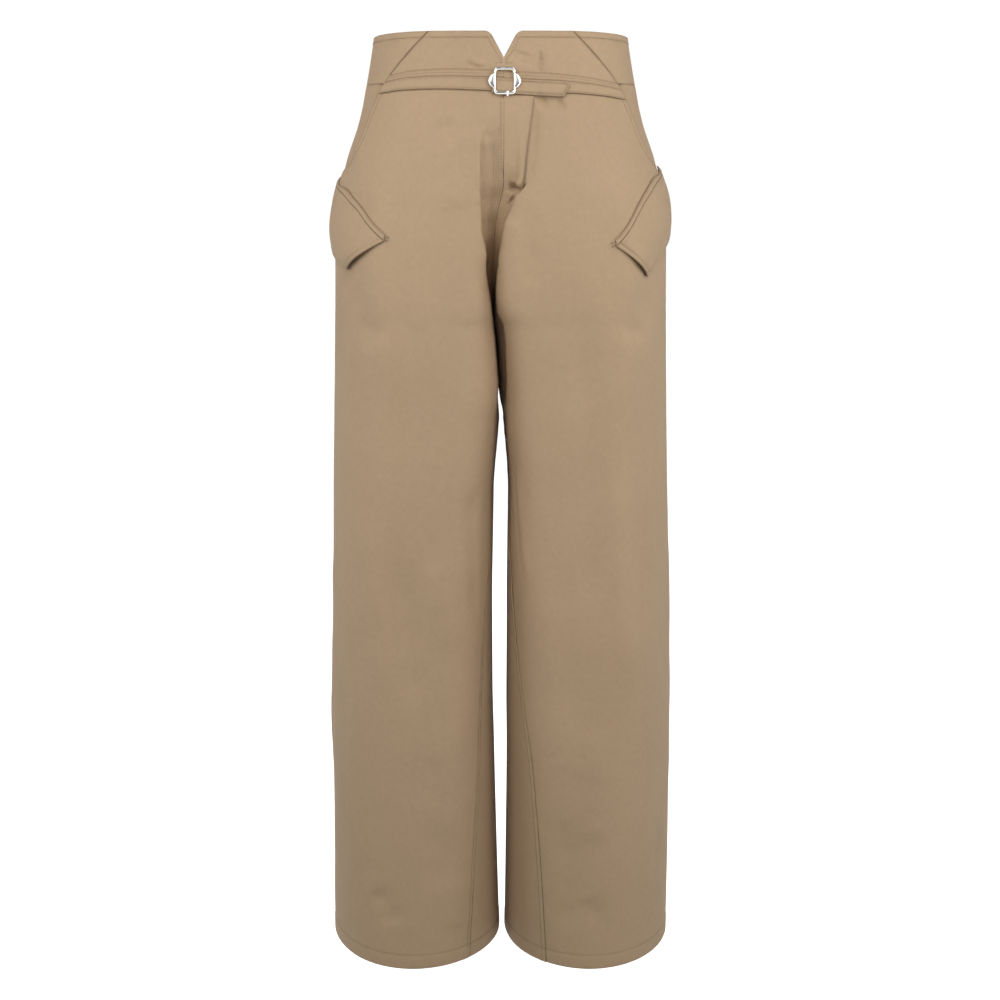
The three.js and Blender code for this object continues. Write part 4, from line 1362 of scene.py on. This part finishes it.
def stitch_mesh(rows):
    """Vertices and faces of all the stitches of several rows; a row is points and outward normals."""
    shape = bpy.context.scene.trouser_shape
    stitch = shape.stitch_length / MM
    radius = shape.thread_thickness / MM / 2
    points = []
    quads = []
    base = 0
    for path, outward in rows:
        steps = np.linalg.norm(np.diff(path, axis=0), axis=1)
        along = np.concatenate([[0], np.cumsum(steps)])
        count = int(along[-1] / (stitch * 1.28))
        if count < 1:
            continue
        centres = (np.arange(count) + 0.5) * along[-1] / count
        centre = np.stack([np.interp(centres, along, path[:, i]) for i in range(3)], axis=1)
        ahead = np.stack([np.interp(centres + 0.6, along, path[:, i]) for i in range(3)], axis=1)
        behind = np.stack([np.interp(centres - 0.6, along, path[:, i]) for i in range(3)], axis=1)
        tangent = ahead - behind
        tangent /= np.maximum(np.linalg.norm(tangent, axis=1, keepdims=True), 1e-6)
        normal = np.stack([np.interp(centres, along, outward[:, i]) for i in range(3)], axis=1)
        normal -= tangent * (normal * tangent).sum(axis=1, keepdims=True)
        normal /= np.maximum(np.linalg.norm(normal, axis=1, keepdims=True), 1e-6)
        across = np.cross(tangent, normal)
        rings = []
        for where, size, rise in THREAD_RINGS:
            for side in range(THREAD_SIDES):
                angle = 2 * math.pi * side / THREAD_SIDES
                ring = centre + tangent * where * stitch
                ring = ring + normal * radius * (size * math.cos(angle) + rise)
                ring = ring + across * radius * size * math.sin(angle)
                rings.append(ring)
        made = np.stack(rings, axis=1)
        per_stitch = made.shape[1]
        points.append(made.reshape(-1, 3))
        starts = base + np.arange(count) * per_stitch
        for ring in range(len(THREAD_RINGS) - 1):
            for side in range(THREAD_SIDES):
                after = (side + 1) % THREAD_SIDES
                corner = np.array([
                    ring * THREAD_SIDES + side,
                    ring * THREAD_SIDES + after,
                    (ring + 1) * THREAD_SIDES + after,
                    (ring + 1) * THREAD_SIDES + side,
                ])
                quads.append(starts[:, None] + corner[None, :])
        base += count * per_stitch
    return np.concatenate(points), np.concatenate(quads)


def thread_piece(name, rows):
    points, quads = stitch_mesh(rows)
    obj = new_mesh_object(name, points * MM, quads.ravel(), np.full(len(quads), 4))
    obj.data.materials.append(finish("thread"))
    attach(obj, "root")
    return obj


def row_on(wearer, distance, z, lift):
    """A line of stitching on the cloth: its points and the outward direction at each."""
    distance, z, lift = np.broadcast_arrays(distance, z, np.asarray(lift, float))
    path = cloth_point(wearer, distance, z, lift + 0.12)
    outward = cloth_point(wearer, distance, z, lift + 2.0) - path
    outward /= np.linalg.norm(outward, axis=1, keepdims=True)
    return path, outward


def seam_rows(wearer):
    """Stitching on the panels of one leg."""
    rows = []
    z = np.arange(-258, HEM + 1.5, -2.0)
    if wearer == "right":
        rows.append(row_on(wearer, front_start(z, wearer) + SEAM_STITCH, z, 0.3))
    else:
        rows.append(row_on(wearer, back_end(z, wearer) - SEAM_STITCH, z, 0.3))
    mouth = np.arange(-22, MOUTH_END + 2, -2.0)
    rows.append(row_on(wearer, front_edge(mouth) - MOUTH_STITCH, mouth, 0.25))
    seat = np.arange(-8, CROTCH + 14, -2.0)
    rows.append(row_on(wearer, back_end(seat, wearer) - SEAM_STITCH, seat, 0.25))
    for face in ("front", "back"):
        z_hem = HEM + HEM_DEPTH
        if face == "front":
            ends = (float(front_start(z_hem, wearer)), float(front_edge(z_hem)))
        else:
            ends = (float(side_seam(z_hem)), float(back_end(z_hem, wearer)))
        distance = np.arange(ends[0] + 1, ends[1] - 1, 2.0)
        rows.append(row_on(wearer, distance, np.full_like(distance, z_hem), -0.05))
    waist = np.arange(float(side_seam(-6)) + 2, float(by_level("total", -6)) - 2, 2.0)
    rows.append(row_on(wearer, waist, np.full_like(waist, WAIST_SEAM - 4.9), 0.15))
    return rows


def top_rows(wearer):
    """Stitching round the top edge, the notch and the curved seam."""
    rows = []
    z = TOP - TOP_STITCH
    across = np.linspace(0, 1, 60)
    start = float(yoke_start(z, wearer)) + 5.5
    rows.append(row_on(wearer, mix(start, float(front_edge(z)) - 1, across), np.full(60, z), 0.15))
    side_z = mix(TOP, SIDE_TOP, eased(across)) - TOP_STITCH
    rows.append(row_on(wearer, mix(front_edge(side_z) + 1, side_seam(side_z) - 1, across), side_z, 0.15))
    back_z = mix(SIDE_TOP, BACK_TOP, eased(across)) - TOP_STITCH
    total = by_level("total", back_z)
    rows.append(row_on(wearer, mix(side_seam(back_z) + 1, total - 1, across), back_z, 0.15))
    down = np.linspace(TOP - TOP_STITCH, NOTCH_BOTTOM - 6.5, 20)
    inward = 3.0 * eased((NOTCH_BOTTOM + 6 - down) / 12)
    rows.append(row_on(wearer, yoke_start(down, wearer) + 5.5 - inward, down, 0.1))
    foot = np.linspace(1.2, 9.5, 6)
    outward = 1 if wearer == "left" else -1
    rows.append(row_on(wearer, outward * CENTRE_X + foot, np.full(6, NOTCH_BOTTOM - 5.5), 0.1))
    curve = np.arange(TOP - 2, 14, -2.0)
    rows.append(row_on(wearer, front_edge(curve) - 2.2, curve, 0.35))
    return rows


def pocket_rows(wearer):
    rows = []
    span = np.linspace(0, 1, 70)
    side = FLAP_STITCH / FLAP["length"]
    foot = FLAP_STITCH / FLAP["depth"]
    for across, down in (
        (np.full(70, side), span * 0.9 + 0.03),
        (mix(side, 1 - side, span), np.full(70, 1 - foot)),
        (np.full(70, 1 - side), span * 0.9 + 0.03),
    ):
        distance, z = flap_place(wearer, across, down)
        rows.append(row_on(wearer, distance, z, flap_lift(down) - 0.15))
    distance, z = welt_place(wearer, mix(0.01, 0.99, span), np.full(70, WELT_STITCH / WELT_WIDTH))
    rows.append(row_on(wearer, distance, z, LAY_GAP + TRIM_WALL + 0.2))
    edge = flap_edge[wearer]
    corner_z = float(edge["upper_z"](0)) + 3
    corner = float(side_distance(corner_z) - edge["upper_ahead"](0))
    for shift in (1.2, 2.1, 3.0):
        step = np.linspace(-4.0, 4.0, 6)
        tack_z = corner_z + step * 0.75 - shift * 0.5
        rows.append(row_on(wearer, corner - shift - step * 0.6, tack_z, 0.15))
    return rows


def belt_rows(wearer):
    rows = []
    across = np.linspace(0.012, 0.99, 90)
    for down in (0.07, 0.2, 0.46, 0.9):
        distance, z = band_place(across, np.full(90, down), wearer)
        rows.append(row_on(wearer, distance, z, float(band_lift(np.array(down), np.array(5.0)))))
    if wearer == "left":
        lift = 2 * (LAY_GAP + TRIM_WALL) - 0.1
        along = np.linspace(0.26, 1 - STRAP_STITCH / STRAP["length"], 60)
        for down in (2.4 / 15.5, 1 - 2.4 / 15.5):
            distance, z = strap_place(along, np.full(60, down))
            rows.append(row_on(wearer, distance, z, lift))
        down = np.linspace(2.4 / 15.5, 1 - 2.4 / 15.5, 16)
        distance, z = strap_place(np.full(16, 1 - 2.8 / 76), down)
        rows.append(row_on(wearer, distance, z, lift))
    return rows


def fly_rows():
    """Rows that hold the fly facing, side by side beside the centre seam."""
    rows = []
    for offset, top, foot in ((2.9, -14, -232), (5.4, -44, -146), (7.9, -46, -150), (10.4, -48, -152)):
        z = np.arange(top, foot, -2.0)
        rows.append(row_on("right", -centre_shift(z) + offset, z, fly_raise(offset, z)))
    return rows


# ---------------------------------------------------------------- buckle
def ring_outline(half_width, half_height, round_by, ear, ear_half):
    """Closed outline of the buckle frame, with rounded corners and swelling ears."""
    outline = []
    corners = ((1, -1, -90), (1, 1, 0), (-1, 1, 90), (-1, -1, 180))
    for sign_x, sign_y, start in corners:
        if sign_x == 1 and sign_y == 1:
            outline += ear_points(half_width, ear, ear_half, 1)
        if sign_x == -1 and sign_y == -1:
            outline += ear_points(half_width, ear, ear_half, -1)
        centre_x = sign_x * (half_width - round_by)
        centre_y = sign_y * (half_height - round_by)
        for i in range(7):
            angle = math.radians(start + 90 * i / 6)
            outline.append((centre_x + round_by * math.cos(angle), centre_y + round_by * math.sin(angle)))
    return np.array(outline)


def ear_points(half_width, ear, ear_half, sign):
    points = []
    for i in range(25):
        t = i / 24
        y = mix(-ear_half, ear_half, t)
        reach = abs(2 * t - 1)
        swell = (1 - reach**2) ** 0.9 * float(eased((1 - reach) / 0.22))
        points.append((sign * (half_width + ear * swell), sign * y))
    return points


def buckle_turn():
    """Place of the buckle: on the belt, leaning back with the front of the waist."""
    foot_distance = distance_at_x(BUCKLE["x"], 0.0)
    foot = form_point(foot_distance, 0.0)
    normal = form_normal(foot_distance, 0.0)
    place = foot + normal * BUCKLE["lift"]
    turn = Matrix.Rotation(math.pi / 2 - math.atan2(normal[2], -normal[1]), 4, "X")
    return Matrix.Translation(Vector(place * MM)) @ turn


def rounded_ring(outer, inner, plate, bevel):
    """A flat ring with bevelled rims between two outlines of as many points."""
    count = len(outer)
    middle = (outer + inner) / 2
    to_outer = (outer - middle) / np.linalg.norm(outer - middle, axis=1, keepdims=True)
    rings = []
    profile = (
        (outer, 0.0, bevel), (outer, 0.0, plate - bevel), (outer, bevel * 0.35, plate - bevel * 0.3),
        (outer, bevel, plate), (middle, 0.0, plate + 0.42), (inner, -bevel, plate),
        (inner, -bevel * 0.35, plate - bevel * 0.3), (inner, 0.0, plate - bevel), (inner, 0.0, bevel),
        (inner, -bevel, 0.0), (outer, bevel, 0.0),
    )
    for line, inset, height in profile:
        xy = line - to_outer * inset
        rings.append(np.column_stack([xy, np.full(count, height)]))
    return np.concatenate(rings), tube_quads(len(rings), count, closed=True)


def inner_outline(outer, half_width, half_height):
    """The opening's outline, point for point beside the frame's outer outline."""
    angle = np.arctan2(outer[:, 1] / half_height, outer[:, 0] / half_width)
    power = BUCKLE["opening_power"]
    scale = 1 / (np.abs(np.cos(angle)) ** power + np.abs(np.sin(angle)) ** power) ** (1 / power)
    return np.column_stack([np.cos(angle) * scale * half_width, np.sin(angle) * scale * half_height])


def metal_piece(name, points, quads):
    obj = new_mesh_object(name + "_polished", points * MM, quads.ravel(), np.full(len(quads), 4))
    obj.data.transform(buckle_turn())
    obj.data.materials.append(finish("buckle"))
    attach(obj, "root")
    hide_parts(name)
    return obj


def buckle_frame():
    half_width = BUCKLE["half_width"] + BUCKLE["side"]
    half_height = BUCKLE["half_height"] + BUCKLE["bar"]
    outer = ring_outline(half_width, half_height, BUCKLE["corner"], BUCKLE["ear"], BUCKLE["ear_half"])
    inner = inner_outline(outer, BUCKLE["half_width"], BUCKLE["half_height"])
    points, quads = rounded_ring(outer, inner, BUCKLE["plate"], BUCKLE["bevel"])
    return metal_piece("buckle_frame", points, quads)


def turned_rod(length, sizes):
    """A rod along Y whose radius follows a list of (share, radius)."""
    rings = []
    for share, radius in sizes:
        ring = circle(radius, ROD_SIDES)
        along = np.full(ROD_SIDES, (share - 0.5) * length)
        rings.append(np.column_stack([ring[:, 0], along, ring[:, 1]]))
    return np.concatenate(rings), tube_quads(len(sizes), ROD_SIDES)


def buckle_tongue():
    """The tongue's hinged end: a short rod with two collars round the lower bar."""
    sizes = (
        (0.0, 0.1), (0.02, 0.5), (0.1, 0.75), (0.22, 0.95), (0.34, 0.75), (0.46, 0.62), (0.58, 0.75),
        (0.7, 1.0), (0.84, 0.8), (0.96, 0.45), (1.0, 0.08),
    )
    points, quads = turned_rod(TONGUE["length"], sizes)
    x = TONGUE["x"] - BUCKLE["x"]
    y = -BUCKLE["half_height"] - BUCKLE["bar"] / 2 - 0.3
    z = BUCKLE["plate"] + 0.75
    points = points * np.array([1.15, 1.0, 0.75]) + np.array([x, y, z])
    return metal_piece("buckle_tongue", points, quads)


# ---------------------------------------------------------------- stage
FLOOR_SIDES = 64
FLOOR_RADII = (0.5, 1.0, 2.0, 4.0, 9.0)
LIGHT_SIZE = 0.9
BACKDROP_STRENGTH = 1.02  # as the camera sees it; the fill sets how much it lights
CAMERA_PLACE = (-0.0008, -2.0, -0.0516)
CAMERA_LENS = 66.85
CAMERA_TILT = 0.19444  # below the level, in radians


def plain_floor():
    stage = bpy.context.scene.trouser_stage
    height = HEM * MM - stage.floor_drop
    rings = [circle(radius, FLOOR_SIDES) for radius in FLOOR_RADII]
    points = np.column_stack([np.concatenate(rings), np.full(len(FLOOR_RADII) * FLOOR_SIDES, height)])
    quads = tube_quads(len(FLOOR_RADII), FLOOR_SIDES)[:, [0, 3, 2, 1]]
    loops = np.concatenate([np.arange(FLOOR_SIDES), quads.ravel()])
    obj = new_mesh_object("floor", points, loops, [FLOOR_SIDES] + [4] * len(quads))
    obj.data.materials.append(finish("floor"))
    obj.visible_diffuse = False
    return obj


# Large soft lights: place in metres and power in watts. The one behind lights only the back.
# The others' powers, and the fill, are a least-squares balance of one-lamp renders, rounded.
LIGHTS = {
    "soft_front_right": ((-1.1, -1.3, 0.15), 5.4),
    "soft_front_left": ((1.1, -1.3, 0.15), 9.2),
    "soft_side_right": ((-1.7, -0.35, 0.25), 8.9),
    "soft_side_left": ((1.7, -0.35, 0.25), 7.9),
    "soft_high_right": ((-0.6, -1.3, 1.0), 7.4),
    "soft_high_left": ((0.6, -1.3, 1.0), 5.4),
    "soft_back": ((0.0, 2.0, 1.1), 26.0),
}


def soft_light(name, place, power):
    data = bpy.data.lights.new(name, "AREA")
    data.shape = "RECTANGLE"
    data.size = LIGHT_SIZE
    data.size_y = LIGHT_SIZE
    data.energy = power
    obj = bpy.data.objects.new(name, data)
    obj.location = place
    obj.rotation_euler = (Vector((0, 0, -0.1)) - Vector(place)).to_track_quat("-Z", "Y").to_euler()
    obj.visible_camera = False
    bpy.context.scene.collection.objects.link(obj)
    return obj


def surroundings():
    """A white backdrop that lights the cloth only a little."""
    stage = bpy.context.scene.trouser_stage
    world = bpy.data.worlds.new("studio")
    bpy.context.scene.world = world
    world.use_nodes = True
    nodes = Nodes(world.node_tree)
    seen = nodes.add("LightPath", {}, "Is Camera Ray")
    strength = nodes.mapped(seen, 0, 1, stage.fill, BACKDROP_STRENGTH)
    nodes.fill(nodes.nodes["Background"], {"Strength": strength, "Color": (1, 1, 1, 1)})


def camera():
    data = bpy.data.cameras.new("camera")
    data.sensor_width = 36
    data.lens = CAMERA_LENS
    obj = bpy.data.objects.new("camera", data)
    obj.location = CAMERA_PLACE
    obj.rotation_euler = (math.pi / 2 - CAMERA_TILT, 0, 0)
    bpy.context.scene.collection.objects.link(obj)
    bpy.context.scene.camera = obj


# ---------------------------------------------------------------- settings
class TrouserCloth(bpy.types.PropertyGroup):
    """Colours and surface of the twill and its thread."""

    colour: bpy.props.FloatVectorProperty(
        name="Twill colour", description="Colour of the cloth", subtype="COLOR", size=4,
        default=(0.485, 0.341, 0.206, 1.0), min=0, max=1,
    )
    # The thread's dark default is partly its own tone and partly painted shade of the stitch holes.
    thread: bpy.props.FloatVectorProperty(
        name="Thread colour", description="Colour of the stitching", subtype="COLOR", size=4,
        default=(0.33, 0.228, 0.13, 1.0), min=0, max=1,
    )
    wale: bpy.props.FloatProperty(
        name="Wale spacing", description="Distance between the twill's diagonal ribs",
        default=0.0008, min=0.0003, max=0.003, unit="LENGTH",
    )
    sheen: bpy.props.FloatProperty(
        name="Sheen", description="Soft light caught by the fibres", default=0.12, min=0, max=1,
        subtype="FACTOR",
    )


class TrouserShape(bpy.types.PropertyGroup):
    """Drape and stitching sizes."""

    fold_depth: bpy.props.FloatProperty(
        name="Fold depth", description="How deep the creases and drape are", default=1.0, min=0, max=2,
        subtype="FACTOR",
    )
    stitch_length: bpy.props.FloatProperty(
        name="Stitch length", description="Length of one stitch", default=0.0024, min=0.001, max=0.006,
        unit="LENGTH",
    )
    thread_thickness: bpy.props.FloatProperty(
        name="Thread thickness", description="Thickness of the thread", default=0.00045, min=0.0002,
        max=0.001, unit="LENGTH",
    )


class TrouserMetal(bpy.types.PropertyGroup):
    """Finish of the buckle."""

    colour: bpy.props.FloatVectorProperty(
        name="Metal colour", description="Colour of the plated buckle", subtype="COLOR", size=4,
        default=(0.80, 0.80, 0.78, 1.0), min=0, max=1,
    )
    polish: bpy.props.FloatProperty(
        name="Polish", description="Roughness of the cleanest metal", default=0.14, min=0.02, max=0.6,
        subtype="FACTOR",
    )


class TrouserStage(bpy.types.PropertyGroup):
    """Floor and lights."""

    floor_colour: bpy.props.FloatVectorProperty(
        name="Floor colour", description="Colour of the floor", subtype="COLOR", size=4,
        default=(0.8, 0.8, 0.8, 1.0), min=0, max=1,
    )
    floor_drop: bpy.props.FloatProperty(
        name="Floor below hem", description="Clear height under the hems", default=0.09, min=0, max=1,
        unit="LENGTH",
    )
    floor_glow: bpy.props.FloatProperty(
        name="Floor glow", description="Evenness of the floor's light", default=0.95, min=0, max=2,
    )
    fill: bpy.props.FloatProperty(
        name="Fill", description="Strength of the light from all round", default=0.182, min=0, max=2,
    )
    lights: bpy.props.FloatProperty(
        name="Soft lights", description="Share of the soft lights' full power", default=1.0, min=0, max=4,
        subtype="FACTOR",
    )


# ---------------------------------------------------------------- operators
class TROUSERS_OT_legs(bpy.types.Operator):
    """Make the front and back panels of both legs"""

    bl_idname = "trousers.legs"
    bl_label = "Legs"

    def execute(self, context):
        for wearer in ("right", "left"):
            for face in ("front", "back"):
                leg_panel(wearer, face)
        return {"FINISHED"}


class TROUSERS_OT_waist(bpy.types.Operator):
    """Make the yokes, the waist's sides and its back"""

    bl_idname = "trousers.waist"
    bl_label = "Waist"

    def execute(self, context):
        for wearer in ("right", "left"):
            yoke_front(wearer)
            waist_side(wearer)
            waist_back(wearer)
        return {"FINISHED"}


class TROUSERS_OT_pockets(bpy.types.Operator):
    """Make the slant pocket facings, the welts and the hip flaps"""

    bl_idname = "trousers.pockets"
    bl_label = "Pockets"

    def execute(self, context):
        for wearer in ("right", "left"):
            pocket_facing(wearer)
            pocket_welt(wearer)
            pocket_flap(wearer)
        return {"FINISHED"}


class TROUSERS_OT_belt(bpy.types.Operator):
    """Make the belt bands, the strap end and the fly lap"""

    bl_idname = "trousers.belt"
    bl_label = "Belt and fly"

    def execute(self, context):
        for wearer in ("right", "left"):
            belt_band(wearer)
        belt_strap()
        fly_lap()
        return {"FINISHED"}


class TROUSERS_OT_stitching(bpy.types.Operator):
    """Sew every visible row of stitches"""

    bl_idname = "trousers.stitching"
    bl_label = "Stitching"

    def execute(self, context):
        for wearer in ("right", "left"):
            thread_piece(f"thread_seams_{wearer}", seam_rows(wearer))
            thread_piece(f"thread_top_{wearer}", top_rows(wearer))
            thread_piece(f"thread_pocket_{wearer}", pocket_rows(wearer))
            thread_piece(f"thread_belt_{wearer}", belt_rows(wearer))
        thread_piece("thread_fly", fly_rows())
        return {"FINISHED"}


class TROUSERS_OT_buckle(bpy.types.Operator):
    """Make the plated buckle and its tongue"""

    bl_idname = "trousers.buckle"
    bl_label = "Buckle"

    def execute(self, context):
        buckle_frame()
        buckle_tongue()
        return {"FINISHED"}


class TROUSERS_OT_stage(bpy.types.Operator):
    """Set up the floor, the lights and the camera"""

    bl_idname = "trousers.stage"
    bl_label = "Stage"

    def execute(self, context):
        stage = context.scene.trouser_stage
        plain_floor()
        surroundings()
        for name, (place, power) in LIGHTS.items():
            soft_light(name, place, power * stage.lights)
        camera()
        context.scene.view_settings.view_transform = "Standard"
        return {"FINISHED"}


class TROUSERS_PT_sidebar(bpy.types.Panel):
    """Lists the steps that build the trousers"""

    bl_idname = "TROUSERS_PT_sidebar"
    bl_label = "Barrel leg trousers"
    bl_space_type = "VIEW_3D"
    bl_region_type = "UI"
    bl_category = "Trousers"

    def draw(self, context):
        column = self.layout.column()
        for operator in OPERATORS:
            column.operator(operator.bl_idname)
        for name in SETTINGS:
            group = getattr(context.scene, name)
            for item in group.bl_rna.properties:
                if item.identifier not in ("rna_type", "name"):
                    column.prop(group, item.identifier)


OPERATORS = (
    TROUSERS_OT_legs, TROUSERS_OT_waist, TROUSERS_OT_pockets, TROUSERS_OT_belt, TROUSERS_OT_stitching,
    TROUSERS_OT_buckle, TROUSERS_OT_stage,
)
SETTINGS = {
    "trouser_cloth": TrouserCloth,
    "trouser_shape": TrouserShape,
    "trouser_metal": TrouserMetal,
    "trouser_stage": TrouserStage,
}


def register():
    for name, group in SETTINGS.items():
        bpy.utils.register_class(group)
        setattr(bpy.types.Scene, name, bpy.props.PointerProperty(type=group))
    for made in (*OPERATORS, TROUSERS_PT_sidebar):
        bpy.utils.register_class(made)


def unregister():
    for made in reversed((*OPERATORS, TROUSERS_PT_sidebar)):
        bpy.utils.unregister_class(made)
    for name, group in reversed(list(SETTINGS.items())):
        delattr(bpy.types.Scene, name)
        bpy.utils.unregister_class(group)


def main():
    register()
    bpy.ops.trousers.legs()
    bpy.ops.trousers.waist()
    bpy.ops.trousers.pockets()
    bpy.ops.trousers.belt()
    bpy.ops.trousers.stitching()
    bpy.ops.trousers.buckle()
    bpy.ops.trousers.stage()


if __name__ == "__main__":
    main()
